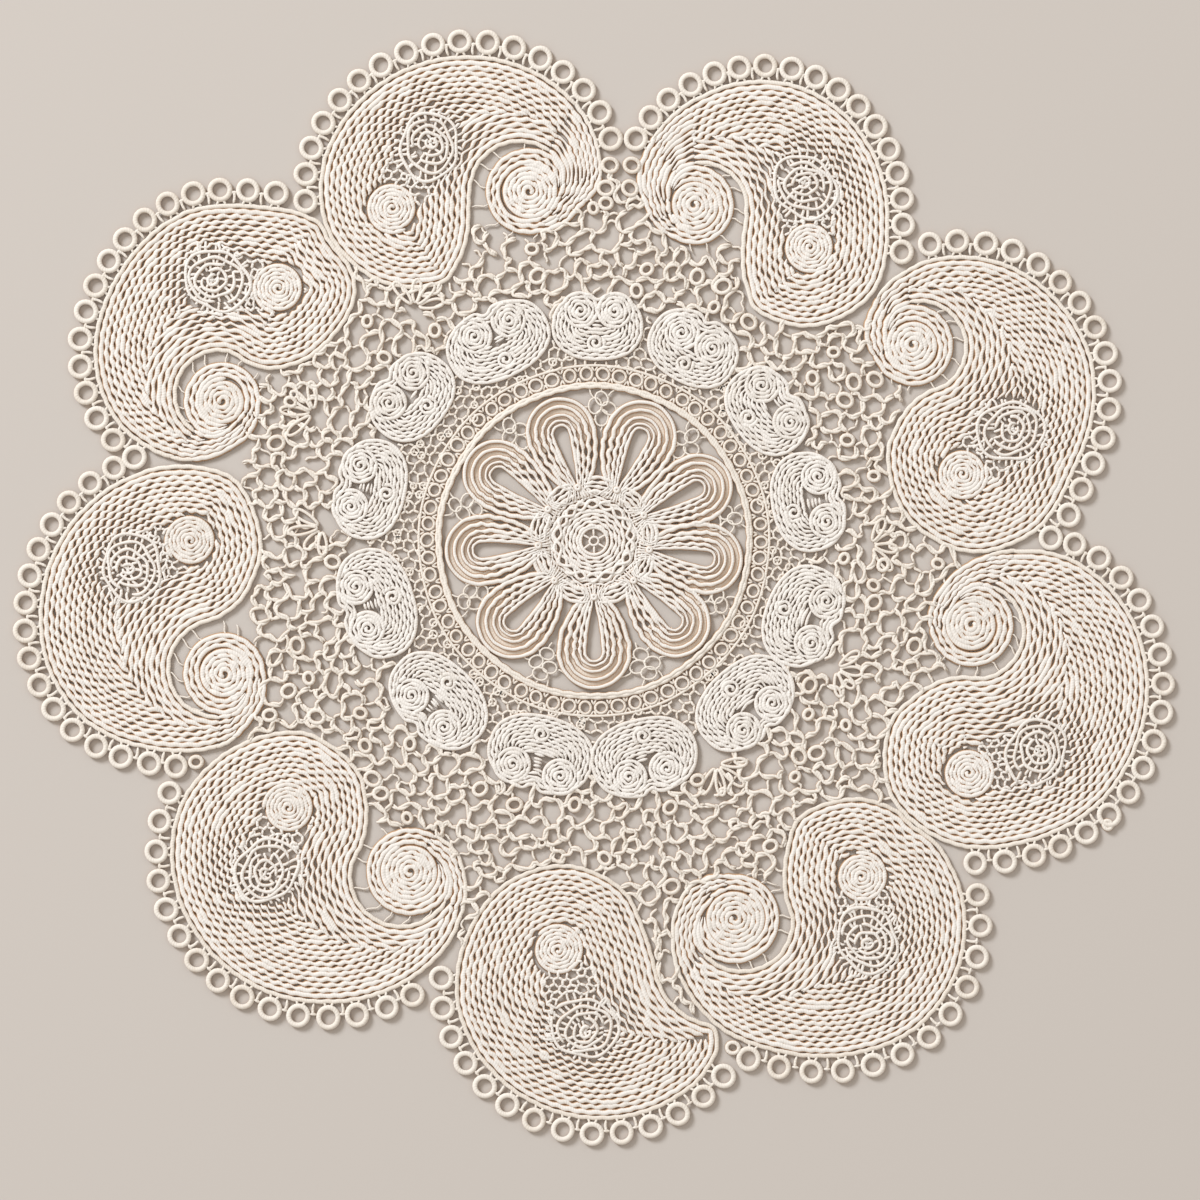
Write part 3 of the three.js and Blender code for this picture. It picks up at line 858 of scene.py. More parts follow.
# places are shares of each lobe's own box, radii in mm. A lobe whose curl has no radius wraps round its
# neighbour's. margin is how near to both circles the CAD outline is still followed
paisleyLooks = {
    "paisley_1": {"curl": (0.746, 0.417, 13.9), "pocket": (0.713, 0.417, 15.9), "margin": 0.5,
                  "rosette": (0.26, 0.345), "web": (0.395, 0.614)},
    "paisley_2": {"curl": (0.226, 0.495, 12.8), "pocket": (0.254, 0.483, 14.35), "margin": 0.5,
                  "rosette": (0.684, 0.325), "web": (0.664, 0.575)},
    "paisley_3": {"curl": (0.206, 0.698, 13.1), "pocket": (0.238, 0.691, 14.55), "margin": 0.5,
                  "rosette": (0.422, 0.267), "web": (0.634, 0.414)},
    "paisley_4": {"curl": (0.334, 0.746, 13.4), "pocket": (0.351, 0.725, 15.0), "margin": 0.5,
                  "rosette": (0.323, 0.254), "web": (0.581, 0.324)},
    "paisley_5": {"curl": (0.214, 0.534, 14.4), "pocket": (0.24, 0.525, 16.05), "margin": 0.5,
                  "rosette": (0.644, 0.694), "web": (0.664, 0.446)},
    "paisley_6": {"curl": (1.01, 0.633, 0), "pocket": (1.01, 0.633, 21.9), "margin": 0.5,
                  "rosette": (0.389, 0.664), "web": (0.491, 0.353)},
    "paisley_7": {"curl": (0.808, 0.485, 14.1), "pocket": (0.778, 0.471, 16.2), "margin": 0.5,
                  "rosette": (0.397, 0.719), "web": (0.323, 0.484)},
    "paisley_8": {"curl": (0.796, 0.275, 13.2), "pocket": (0.763, 0.293, 15.25), "margin": 3.4,
                  "rosette": (0.65, 0.738), "web": (0.392, 0.644)},
    "paisley_9": {"curl": (0.49, 0.23, 12.4), "pocket": (0.477, 0.257, 13.9), "margin": 0.5,
                  "rosette": (0.702, 0.67), "web": (0.463, 0.701)},
}
lobeLook = {
    "rosette": 8.2,
    "web": 10.7,
    "webOver": 0.9,               # how far the web's threads run in under the rows
    "rosetteOver": 0.2,           # and under the rosette
    "rowsClear": (0.4, -0.3),     # how far rows stay from the rosette and from the web
    "coilInner": (0.6, 0.95),     # the inner radii of the rosette and of the curl's coil
    "coilClear": (0.3, 0.15),     # how far both coils stay inside their own edge
    # share of the way from rosette to web, reach of the web's threads there, and reach without rows
    "between": (0.45, 9.0, 8.4),
    # how many times as far the rows on the back reach, from and to a distance from the far point
    "lean": (1.55, 38, 60),
    "band": 4.9,                  # the width of the arms round the curl
    "headReach": 15.0,            # how far round the head's corner the outline is rounded
    "wrapped": (1.0, 2.0),        # rows end this much before the arms: radians past the tail's end, and mm
}
tailLook = {
    "open": 0.25,               # the crescent ends where it is narrower than this
    "ease": (-15, 60),          # degrees past the tail's end where the lace eases down to the curl
    "narrow": 85,               # degrees over which the arms' inner edge leaves the curl's radius
    "arm": (1.9, 1.3),          # the width of an arm at first, and the width at which fewer arms go on
    "goOn": (0.62, 3),          # the share of the arms that go on, and the fewest
    "early": (4, 7),            # degrees by which the first and the next arms begin early
    "past": 60,                 # degrees past a full turn where the arms end
    "groove": (0.75, 215, 55),  # the gap outside the coil: its width, middle and half its span in degrees
    "least": 0.55,              # the width under which an arm ends
}
armLook = dict(rowLook, opening=0.66)
coilLook = dict(rowLook, pitch=1.45, opening=0.45, slit=3.6, fill=1.04, step=0.75, strandHigh=0.5,
                long=(0.13, 0.12))
rosetteLook = dict(coilLook, pitch=1.25, opening=0.38, slit=3.2)


def wayOut(rays, start, disc):
    # how far rays run from a place until they leave a disc: -along + sqrt(radius^2 - offset^2 + along^2)
    offset = start - disc[:2]
    along = rays @ offset
    return -along + np.sqrt(np.maximum(disc[2] ** 2 - offset @ offset + along ** 2, 0))


def lobeShape(node, look):
    # the smooth outline of a lobe with its pocket: the corners of the CAD outline that lie on neither the
    # pocket nor the curl, joined by a curve, then round the outside of the two circles, back to the start
    loop = topLoops(node)[0]
    curl, pocket = (np.append(within(node, look[key][:2]), look[key][2]) for key in ("curl", "pocket"))
    free = clearOf(loop, [(x, y, radius + look["margin"]) for x, y, radius in (curl, pocket)])
    start, end, _ = max(runsOf(free), key=lambda run: run[1] - run[0])
    chain = rounded(loop[np.arange(start, end + 1) % len(loop)], 12)
    stop, begin = (headingOf(chain[k] - curl[:2]) for k in (-1, 0))
    rays = ray(stop - (stop - begin) % turn * np.linspace(0, 1, 90)[1:-1])
    arc = curl[:2] + rays * np.maximum(wayOut(rays, curl[:2], pocket), curl[2])[:, None]
    # the head's side leaves the pocket's circle on a straight line that touches it
    rosette = within(node, look["rosette"])
    head = min((chain[0], chain[-1]), key=lambda place: awayFrom(place, rosette))
    spread = math.acos(min(pocket[2] / awayFrom(head, pocket), 1))
    aside = shortAngle(headingOf(arc - pocket[:2]) - headingOf(head - pocket[:2]))
    return chain, arc[np.abs(aside) > spread], curl, pocket


def tailOf(tail, curl, pocket, sense):
    # angles round the curl grow the way the tail winds. Returns the angle at which the crescent ends and
    # the tail begins to wrap, the angle of the tail's end, and two functions: how far the lace reaches
    # outwards and inwards at an angle. Outwards it follows the tail, then eases down to the curl's own
    # radius
    angles = np.unwrap(sense * headingOf(tail - curl[:2]))
    reaches = awayFrom(tail, curl)
    back = np.flatnonzero(np.diff(angles) <= 0)
    first = back[-1] + 1 if len(back) else 0
    end = angles[-1]
    sweep = end - np.radians(np.arange(0, 180, 2))
    toPocket = wayOut(ray(sense * sweep), curl[:2], pocket)
    begin = sweep[int(np.argmax(toPocket > curl[2] + tailLook["open"]))]
    easeFrom, easeTo, narrow = (math.radians(each) for each in (*tailLook["ease"], tailLook["narrow"]))

    def outward(a):
        reach = np.interp(a, angles[first:], reaches[first:])
        return curl[2] + (reach - curl[2]) * (1 - fade(a, end + easeFrom, end + easeTo))

    def inward(a):
        return curl[2] - lobeLook["band"] * fade(a, begin, begin + narrow)

    return begin, end, outward, inward


def layTail(bundle, curl, begin, outward, inward, sense, seed, rim):
    # arms that share the tail's width, wrap round the curl and narrow into its rim: first one arm to each
    # row, then fewer where they crowd, on to a full turn and a bit under where they began
    full = begin + turn
    gap, gapAt, gapSpan = tailLook["groove"]
    firstWidth, tightWidth = tailLook["arm"]
    goOn, fewest = tailLook["goOn"]
    firstEarly, nextEarly, past = (math.radians(each) for each in (*tailLook["early"], tailLook["past"]))

    def limits(a):
        outside = np.where(a < full, outward(a), inward(a - turn))
        window = np.clip(1 - ((a - begin - math.radians(gapAt)) / math.radians(gapSpan)) ** 2, 0, 1)
        return outside, np.where(a < full, inward(a), curl[2] - lobeLook["band"]) + gap * window ** 0.5

    fine = begin - firstEarly + np.radians(np.arange(0, 424, 0.5))
    outer, inner = limits(fine)
    atBegin = int(np.argmin(np.abs(fine - begin)))
    arms = max(int(round((outer - inner)[atBegin] / firstWidth)), fewest)
    start, stages = fine[0], []
    while arms > fewest:
        tight = (fine > start) & ((outer - inner) / arms < tightWidth)
        stop = fine[int(np.argmax(tight))]
        stages.append((arms, start, stop))
        arms, start = max(int(math.ceil(arms * goOn)), fewest), stop - nextEarly
    stages.append((arms, start, full + past))
    for stage, (arms, start, stop) in enumerate(stages):
        a = np.linspace(start, stop, int((stop - start) * curl[2] / 0.5) + 2)
        outer, inner = limits(a)
        share = (np.arange(arms)[:, None] + 0.5) / arms
        reach = outer - share * (outer - inner)
        grid = curl[:2] + reach[:, :, None] * ray(sense * a)
        kept = np.broadcast_to((outer - inner) / arms > tailLook["least"], reach.shape).copy()
        kept[:, -1] = False
        weave(bundle, grid, kept, False, seed + 3 * stage, armLook, rim=None if stage else rim)


def layLobe(number, node, look):
    # rows inside the outline, a web and a rosette in the head, and arms and a coil in the curl. Returns
    # the lace, the web's threads, and what the edging and the nets need to know of the lobe
    seed = 20 + 17 * number
    lace, rim, threads = newBundle(), newBundle(), newBundle()
    chain, arc, curl, pocket = lobeShape(node, look)
    outline = np.vstack([chain, arc])
    rosette, web = within(node, look["rosette"]), within(node, look["web"])
    share, nearWeb, nearRows = lobeLook["between"]
    between = rosette + (web - rosette) * share
    # the place farthest from the curl parts the lobe's back, on the tail's side, from the rest of the
    # outline
    farAt = int(np.argmax(awayFrom(chain, curl)))
    far = chain[farAt]
    if awayFrom(chain[0], rosette) > awayFrom(chain[-1], rosette):
        tail, head, sense, back, rest = chain[::-1], chain[-1], -1, chain[:farAt], chain[farAt:]
    else:
        tail, head, sense, back, rest = chain, chain[0], 1, chain[farAt:], chain[:farAt]
    rest = np.vstack([rest, arc])
    wrap = tailOf(tail, curl, pocket, sense) if curl[2] else None

    def isBack(line):
        return distanceTo(line, back) <= distanceTo(line, rest)

    def leanAt(places):
        lean, near, beyond = lobeLook["lean"]
        return 1 + (lean - 1) * fade(awayFrom(places, far), near, beyond)

    def inWeb(places):
        near = awayFrom(places, web) < lobeLook["web"] + lobeLook["webOver"]
        near |= awayFrom(places, between) < nearWeb
        return near & (awayFrom(places, rosette) > lobeLook["rosette"] - lobeLook["rosetteOver"])

    def rowsAllowed(grid):
        fromRosette, fromWeb = lobeLook["rowsClear"]
        free = clearOf(grid, [(*rosette, lobeLook["rosette"] + fromRosette),
                              (*web, lobeLook["web"] + fromWeb), (*between, nearRows)])
        if wrap is None:
            return free
        begin, end, outward, _ = wrap
        past = np.mod(sense * headingOf(grid - curl[:2]) - begin, turn)
        pastEnd, beyond = lobeLook["wrapped"]
        wrapped = (past < end - begin + pastEnd) & (awayFrom(grid, curl) < outward(begin + past) + beyond)
        return free & ~wrapped

    lobeRows = dict(rowLook, roundAt=[(*head, lobeLook["headReach"])])
    layRows(lace, outline, seed, lobeRows, rowsAllowed, (isBack, leanAt), 2, (*web, lobeLook["web"]), rim)
    layWeb(threads, rosette, web, between, inWeb, lobeLook["web"], seed + 1)
    (rosetteInner, coilInner), (rosetteClear, coilClear) = lobeLook["coilInner"], lobeLook["coilClear"]
    layCoil(lace, rosette, rosetteInner, lobeLook["rosette"] - rosetteClear, seed + 3, rosetteLook,
            start=40.0 * number)
    if wrap:
        begin, end, outward, inward = wrap
        layTail(lace, curl, begin, outward, inward, sense, seed + 8, rim)
        layCoil(lace, curl[:2], coilInner, curl[2] - lobeLook["band"] - coilClear, seed + 6, coilLook,
                start=math.degrees(begin), clockwise=sense > 0)
    return lace, threads, {"rim": rim, "curl": curl, "pocket": pocket, "outline": outline,
                           "whole": topLoops(node)[0]}


bodies = {}
for number, (node, look) in enumerate(paisleyLooks.items()):
    lace, threads, bodies[node] = layLobe(number, node, look)
    cut = abs(sum(area(loop) for loop in topLoops(node)))
    makePiece(f"{node}_lace", lace, flaredSection(0.8, 1.6, -1.6), "brightCotton", [node])
    makePiece(f"{node}_web", threads, flaredSection(0.85, 1.35, -1.0), "brightCotton")
print("paisley lobes laid")


# ring edging

ringLook = {
    "radius": 3.2,
    "stray": 0.096,
    "half": 0.87,
    "middle": 0.95,
    "corners": 20,
    "oval": 0.02,
    "beside": 11.5,  # rings nearer than this have a bar between them
    "tie": ((-0.5, 1.5), (0.5, 1.0), (0, 0.5)),  # ways along and aside; the last lies in the ring
    "tieEnd": 0.9,   # share of the ring's radius at which a tie ends
    "tieHalf": 0.42,
    "tieMiddle": 1.1,
    # how far from the edge a bar bends, how far aside, and how far short of the middle it ends
    "bar": (2.0, 0.3, 0.2),
    "barHalf": (0.5, 0.5, 0.48, 0.46, 0.5, 0.62, 0.5),  # from the lobe's edge outwards
    "barMiddle": 1.0,
    "crossbar": (1.1, 0.7, 0.45, 1.15),  # half its length, how far in it lies, half its width, its middle
}


def layEdging(bundle, node, outline, seed):
    # a thick ring at the middle of every hole in the CAD strip, two ties from each to the lobe's edge, and
    # between rings that stand side by side a bar that ends in a crossbar. Returns how many rings there are
    centres = np.array([loop.mean(0) for loop in topLoops(node)[1:]])
    edge = evenly(outline, 0.4, closed=True)
    for n, (place, foot) in enumerate(zip(centres, nearestOn(edge, centres))):
        radius = ringLook["radius"] + ringLook["stray"] * (2 * float(chance(n, seed)) - 1)
        layRing(bundle, place, radius, ringLook["half"], ringLook["middle"], ringLook["corners"], seed + n,
                ringLook["oval"])
        tie = np.array(ringLook["tie"])
        tie[-1, 0] = awayFrom(place, foot) - ringLook["tieEnd"] * ringLook["radius"]
        for side in (-1, 1):
            path = placed(tie * [1, side], foot, unit(place - foot))
            addStrand(bundle, rounded(path, 3), ringLook["tieHalf"], ringLook["tieMiddle"],
                      tone=float(chance(n, seed + 1)))
    bendAt, bend, short = ringLook["bar"]
    gaps = np.linalg.norm(centres[:, None] - centres[None], axis=2)
    for a, b in np.argwhere(np.triu(gaps < ringLook["beside"], 1)):
        middle = (centres[a] + centres[b]) / 2
        foot = nearestOn(edge, middle)
        away, across = unit(middle - foot), unit(centres[b] - centres[a])
        path = np.array([foot, foot + away * bendAt + across * bend, middle - away * short])
        addStrand(bundle, rounded(path, 3), ringLook["barHalf"], ringLook["barMiddle"],
                  tone=float(chance(a + b, seed + 2)))
        long, inwards, half, high = ringLook["crossbar"]
        path = np.array([middle - across * long, middle + across * long]) - away * inwards
        addStrand(bundle, evenly(path, 0.7), half, high, tone=float(chance(a + b, seed + 3)))
    return len(centres)


edgingCounts = []
for number, body in enumerate(bodies.values()):
    strip = f"ring_edging_{number + 1}"
    edgingCounts.append(layEdging(body["rim"], strip, body["outline"], 300 + 40 * number))
    makePiece(f"{strip}_rings", body["rim"], roundSection(7), "warmCotton", [strip])
print("rings on the edging:", edgingCounts)


# medallions

# in mm from the middle of each medallion's box: aside is clockwise round the mat, out is outwards
medallionLooks = [
    {"left": (-5.7, 5.0), "right": (5.7, 5.0), "eye": (-0.5, -5.4)},
    {"left": (-6.3, 0.9), "right": (5.1, 1.0), "eye": (-0.7, -7.7)},
    {"left": (-7.8, 1.4), "right": (7.6, 1.5), "eye": (-1.9, -8.5)},
    {"left": (-7.2, 4.2), "right": (7.9, 4.2), "eye": (2.9, -5.8)},
    {"left": (-8.1, 4.0), "right": (6.6, 4.1), "eye": (-0.8, -8.0)},
    {"left": (-6.6, 2.4), "right": (6.5, 2.4), "eye": (0.3, -10.1)},
    {"left": (-5.8, 4.4), "right": (7.0, 4.3), "eye": (-0.6, -7.7)},
    {"left": (-8.7, 4.5), "right": (7.4, 4.6), "eye": (0.9, -7.2)},
    {"left": (-7.5, 1.4), "right": (7.5, 1.4), "eye": (2.0, -10.0)},
    {"left": (-6.6, 3.9), "right": (7.8, 3.8), "eye": (1.2, -6.8)},
    {"left": (-7.4, 4.1), "right": (6.6, 4.2), "eye": (-0.5, -6.3)},
    {"left": (-6.4, 2.0), "right": (6.3, 2.1), "eye": (0.8, -8.3)},
    {"left": (-5.8, 2.7), "right": (6.9, 2.6), "eye": (0.3, -8.5)},
]
medallionRows = dict(rowLook, pitch=1.2, opening=0.46, slit=3.6, fill=1.08, least=0.6, step=0.8,
                     strandHigh=0.32, middle=1.35, long=(0.17, 0.12), edge=0.55, soften=0.8, rows=14)
medallionCoil = dict(medallionRows, fill=1.12, long=(0.13, 0.12))
medallionShape = {
    "grow": 1.02,
    "power": 0.86,              # under 1 makes the oval squarer
    "notch": (2.4, 1.7),        # how deep and how wide
    "spiral": (0.6, 6.1, 0.7),  # a spiral's inner and outer radius, and how far the rows reach into it
    "eye": (0.75, 3.0, 0.6),
    "groove": (3.9, 115, 22, 0.26),  # radius, way round from the outward side, half span and opening
}
hub = middleOf("flower_centre")
medallionOutlines = {}


def layMedallion(node, look, seed):
    # rows inside a squarish oval, as wide and as deep as the CAD outline: half size * (cos, sin) ** power,
    # with a bell-shaped notch on its outer side. A coil fills each of the two spirals and the eye
    middle = middleOf(node)
    out = unit(middle - hub)
    facing = math.degrees(headingOf(out))
    aside = -leftOf(out)
    place = {key: middle + aside * value[0] + out * value[1] for key, value in look.items()}
    corners = topLoops(node)[0] - middle
    corners = np.stack([corners @ aside, corners @ out], 1)
    least, most = corners.min(0), corners.max(0)
    oval = ray(anglesRound(150))
    oval = np.sign(oval) * np.abs(oval) ** medallionShape["power"]
    oval = (least + most) / 2 + (most - least) / 2 * medallionShape["grow"] * oval
    notch = (np.array(look["left"]) + look["right"]) / 2
    deep, wide = medallionShape["notch"]
    oval[:, 1] -= deep * np.exp(-((oval[:, 0] - notch[0]) / wide) ** 2) * (oval[:, 1] > notch[1])
    outline = middle + oval[:, :1] * aside + oval[:, 1:] * out
    bundle = newBundle()
    spiralInner, spiralOuter, spiralOver = medallionShape["spiral"]
    eyeInner, eyeOuter, eyeOver = medallionShape["eye"]
    discs = [(*place["left"], spiralOuter - spiralOver), (*place["right"], spiralOuter - spiralOver),
             (*place["eye"], eyeOuter - eyeOver)]
    layRows(bundle, outline, seed, medallionRows, lambda places: clearOf(places, discs))
    grooveRadius, grooveAt, halfSpan, opening = medallionShape["groove"]
    for side, key in ((-1, "left"), (1, "right")):
        groove = (grooveRadius, facing - side * grooveAt, halfSpan, opening)
        layCoil(bundle, place[key], spiralInner, spiralOuter, seed + side + 5, medallionCoil,
                facing + 90 * side, side > 0, groove)
    layCoil(bundle, place["eye"], eyeInner, eyeOuter, seed + 9, medallionCoil, facing)
    makePiece(f"{node}_spirals", bundle, flaredSection(0.9, 1.15, -0.9), "brightCotton", [node])
    return outline


for number, look in enumerate(medallionLooks):
    node = f"medallion_{number + 1}"
    medallionOutlines[node] = layMedallion(node, look, 700 + 23 * number)
print("medallions laid")


# band of small rings round the flower

bandLook = {
    # two thick cords and a thin one: radius, half width, height of the middle, and how far it twists aside
    "cords": ((50.5, 0.6, 1.05, 0.18), (51.3, 0.6, 1.0, -0.18), (57.35, 0.38, 0.9, 0)),
    "waves": (9, 0.12, 70),  # slow waves and how far they sway, and the twists in a round
    "rings": 62,
    "ringAt": (54.55, 0.16, 0.25),  # from the hub; how far chance moves a ring along, in steps, and outwards
    "ring": (1.86, 0.28),           # the least radius, and what chance may add
    "ringHalf": 0.37,
    "ringMiddle": 1.0,
    "ringOval": 0.05,
    # threads in the gaps between rings: from and to a radius and a way aside, once on each side of the gap
    "ties": (((51.8, 0.8), (53.6, 0.05)), ((57.3, 1.12), (55.6, 0.07))),
    "tieHalf": 0.3,
    "tieMiddle": 0.85,
}


def layBand(bundle, look, seed):
    # radius + sway * sin(waves * a) + twist * sin(twists * a) for each cord, small rings between them, and
    # short threads through every gap
    waves, sway, twists = look["waves"]
    for radius, half, middle, twist in look["cords"]:
        angle = anglesRound(int(turn * radius / 1.3))
        reach = radius + sway * np.sin(waves * angle) + twist * np.sin(twists * angle)
        addStrand(bundle, hub + reach[:, None] * ray(angle), half, middle, closed=True)
    count = look["rings"]
    ringAt, strayAlong, strayOut = look["ringAt"]
    least, more = look["ring"]
    for n in range(count):
        angle = turn * (n + strayAlong * (float(chance(n, seed)) - 0.5)) / count
        place = hub + ray(angle) * (ringAt + strayOut * (2 * float(chance(n, seed + 1)) - 1))
        radius = least + more * float(chance(n, seed + 2))
        layRing(bundle, place, radius, look["ringHalf"], look["ringMiddle"], 13, seed + n, look["ringOval"])
        gap = ray(angle + turn / 2 / count)
        for tie in look["ties"]:
            for side in (1, -1):
                path = placed(np.array(tie) * [1, side], hub, gap)
                addStrand(bundle, evenly(path, 0.8), look["tieHalf"], look["tieMiddle"],
                          tone=float(chance(n, seed + 3)))


bundle = newBundle()
layBand(bundle, bandLook, 900)
makePiece("ring_band_cords", bundle, flaredSection(0.85, 1.4, -1.2), "warmCotton", ["ring_band"])
print("ring band laid")


# flower

petalLooks = [
    {"angle": 107.0, "reach": 37.2, "wide": 11.1},
    {"angle": 66.0, "reach": 37.4, "wide": 11.6},
    {"angle": 27.0, "reach": 38.2, "wide": 11.0},
    {"angle": -9.0, "reach": 37.4, "wide": 11.4},
    {"angle": -45.0, "reach": 37.4, "wide": 11.4},
    {"angle": -90.0, "reach": 36.2, "wide": 11.9},
    {"angle": -135.0, "reach": 37.2, "wide": 12.0},
    {"angle": -175.3, "reach": 37.2, "wide": 11.4},
    {"angle": 145.4, "reach": 38.4, "wide": 11.1},
]
loopShares = (0.955, 0.745, 0.545, 0.385, 0.27)  # each loop's half width as a share of the petal's
loopTips = (0.2, 2.8, 5.4, 7.3, 8.7)  # how far inside the tip each loop turns
# where loops start and where they come together, from the hub; half the outer loop's width there, how much
# less each next one has, and how much wider they are at the start
rootLook = {"hub": 14.0, "knot": 18.3, "side": 2.75, "pitch": 0.6, "spread": 0.95, "spreadPower": 1.4}
sidePower = (0.74, 0.09)  # the outer loop's, and how much more each next one has
petalLook = dict(rowLook, pitch=1.6, opening=0.62, slit=4.2, fill=1.04, strandHigh=0.7, middle=1.15,
                 step=0.9, most=1.3, long=(0.3, 0.12))
# slits open and strands fill their room between the hub and these ways along; least values and what is
# added there
nearHubLook = {"from": 31, "to": 44, "widen": (0.1, 0.95), "fill": (0.42, 0.66)}
# painted shade: a low tan tape between each two petal loops stands in for the shaded floor there
shadeTapeLook = {"from": 84, "half": 0.52, "middle": 0.42, "high": 0.3}  # from this point of a loop on
# rows from knot to knot: how far outside the knots the first lies, how far it bulges and how much less
# each next one, and the share of the gap before it and along it
arcLook = {"rows": 4, "out": 1.4, "pitch": 1.1, "bulge": (1.0, 0.35), "span": (0.09, 0.82), "points": 40,
           "knot": (0.7, 0.5, 1.7, 10)}
knotLook = dict(petalLook, pitch=1.25, slit=3.8, opening=0.5)


def petalLoop(look, k):
    # from the hub to the knot, out along one side, round the tip and back. From the knot on the half width
    # grows from the root's to the loop's own as a power of the sine of the share of the way, and the tip
    # is half a circle; towards the hub it grows with the way from the knot. Returns along and aside in mm
    radius = look["wide"] * loopShares[k]
    middle = look["reach"] + look["wide"] - loopTips[k] - radius
    hubAt, knotAt = rootLook["hub"], rootLook["knot"]
    root = rootLook["side"] - rootLook["pitch"] * k
    share = np.linspace(0, 1, 90)
    power, more = sidePower
    aside = root + (radius - root) * np.sin(share * math.pi / 2) ** (power + more * k)
    side = np.stack([knotAt + (middle - knotAt) * share, aside], 1)
    down = np.linspace(1, 0, 20)[:-1]
    spread = 1 + rootLook["spread"] * down ** rootLook["spreadPower"]
    foot = np.stack([knotAt - (knotAt - hubAt) * down, root * spread], 1)
    side = np.vstack([foot, side])
    tip = radius * ray(np.linspace(-math.pi / 2, math.pi / 2, 70)[1:-1]) + [middle, 0]
    return np.vstack([side * [1, -1], tip, side[::-1]])


def petalGap(number, share):
    # the heading in radians at a share of the way from a petal to the one before it
    angle = petalLooks[number]["angle"]
    return np.radians(angle + np.mod(petalLooks[number - 1]["angle"] - angle, 360) * share)


def layPetal(number, look, shadeTapes, seed):
    # a strand along each loop, and a low tan tape halfway between each loop and the next, whose tan is
    # painted shade for the shaded floor between them. Returns the outermost loop
    local = np.stack([petalLoop(look, k) for k in range(len(loopShares))])
    grid = placed(local, hub, ray(math.radians(look["angle"])))
    kept = np.ones(grid.shape[:2], bool)
    kept[:, -1] = False
    nearHub = 1 - fade(local[..., 0], nearHubLook["from"], nearHubLook["to"])
    widen, fill = (least + more * nearHub for least, more in (nearHubLook["widen"], nearHubLook["fill"]))
    bundle = newBundle()
    weave(bundle, grid, kept, False, seed, petalLook, widen=widen, fill=fill)
    node = f"petal_{number + 1}"
    makePiece(f"{node}_loops", bundle, flaredSection(0.78, 1.5, -1.4), "brightCotton", [node])
    ends = shadeTapeLook["from"]
    for k in range(len(grid) - 1):
        one, other = grid[k:k + 2, ends:-ends:2]
        half = shadeTapeLook["half"] * np.linalg.norm(other - one, axis=1)
        addStrand(shadeTapes, (one + other) / 2, half, shadeTapeLook["middle"], shadeTapeLook["high"],
                  tone=float(chance(k, seed + 40)))
    return grid[0]


def layArcs(bundle, number, seed):
    # a few rows from the knot of a petal to that of the one before it: radius + bulge * sin(half turn *
    # share), and a small ring that closes the knot
    share = np.linspace(0, 1, arcLook["points"])
    start, span = arcLook["span"]
    bulge, less = arcLook["bulge"]
    row = np.arange(arcLook["rows"])[:, None]
    reach = rootLook["knot"] + arcLook["out"] - arcLook["pitch"] * row
    reach = reach + np.sin(math.pi * share) * (bulge - less * row)
    grid = hub + reach[:, :, None] * ray(petalGap(number, start + span * share))
    kept = np.ones(reach.shape, bool)
    kept[:, -1] = False
    weave(bundle, grid, kept, False, seed, knotLook)
    layRing(bundle, hub + rootLook["knot"] * ray(petalGap(number, 0)), *arcLook["knot"], number)


arcs, shadeTapes = newBundle(), newBundle()
petalOutlines = []
for number, look in enumerate(petalLooks):
    petalOutlines.append(layPetal(number, look, shadeTapes, 1100 + 29 * number))
    layArcs(arcs, number, 1430 + number)
makePiece("petal_arcs", arcs, flaredSection(0.8, 1.35, -1.2), "brightCotton")
# painted shade: the low tan tape between each two petal loops stands in for the shaded floor there
makePiece("petal_shade_tapes", shadeTapes, roundSection(5, 0.5), "paintedShadeTan")
print("petals laid")

hubCoil = dict(rowLook, pitch=1.2, opening=0.44, slit=3.4, step=0.75, fill=1.04, strandHigh=0.45,
               long=(0.15, 0.14))
hubRows = dict(hubCoil, pitch=1.25, opening=0.5, long=(0.28, 0.12))
hubLook = {
    "coil": (4.9, 10.8),            # inner and outer radius
    "rows": (15.4, 14.3, 13.2),     # their radii
    "waves": 9,                     # one for each petal
    "rowWave": 0.5,
    # the slower wave that makes the others uneven: how much, and how many in a round
    "rowUneven": (0.6, 4),
    "cordUneven": (0.4, 3),
    "cord": (12.1, 1.3, 0.5, 0.7),  # the two wound cords: radius, sway, half width and half height
    "cordTone": 0.6,
    "cordMiddle": (0.95, 0.2),      # the height of their middle, and how far it rises and falls
    # the two rings in the middle: radius, half width, height of the middle, corners, seed and oval
    "rings": ((4.45, 0.5, 0.95, 24, 3, 0), (1.45, 0.36, 0.9, 12, 4, 0.06)),
    "spokes": (6, (1.5, 4.4), 0.34),  # how many, from and to a radius, and half width
    "spokeAt": (0.5, 0.15),         # the first one's angle, and what chance may add to each
    "spokeMiddle": 0.9,
}


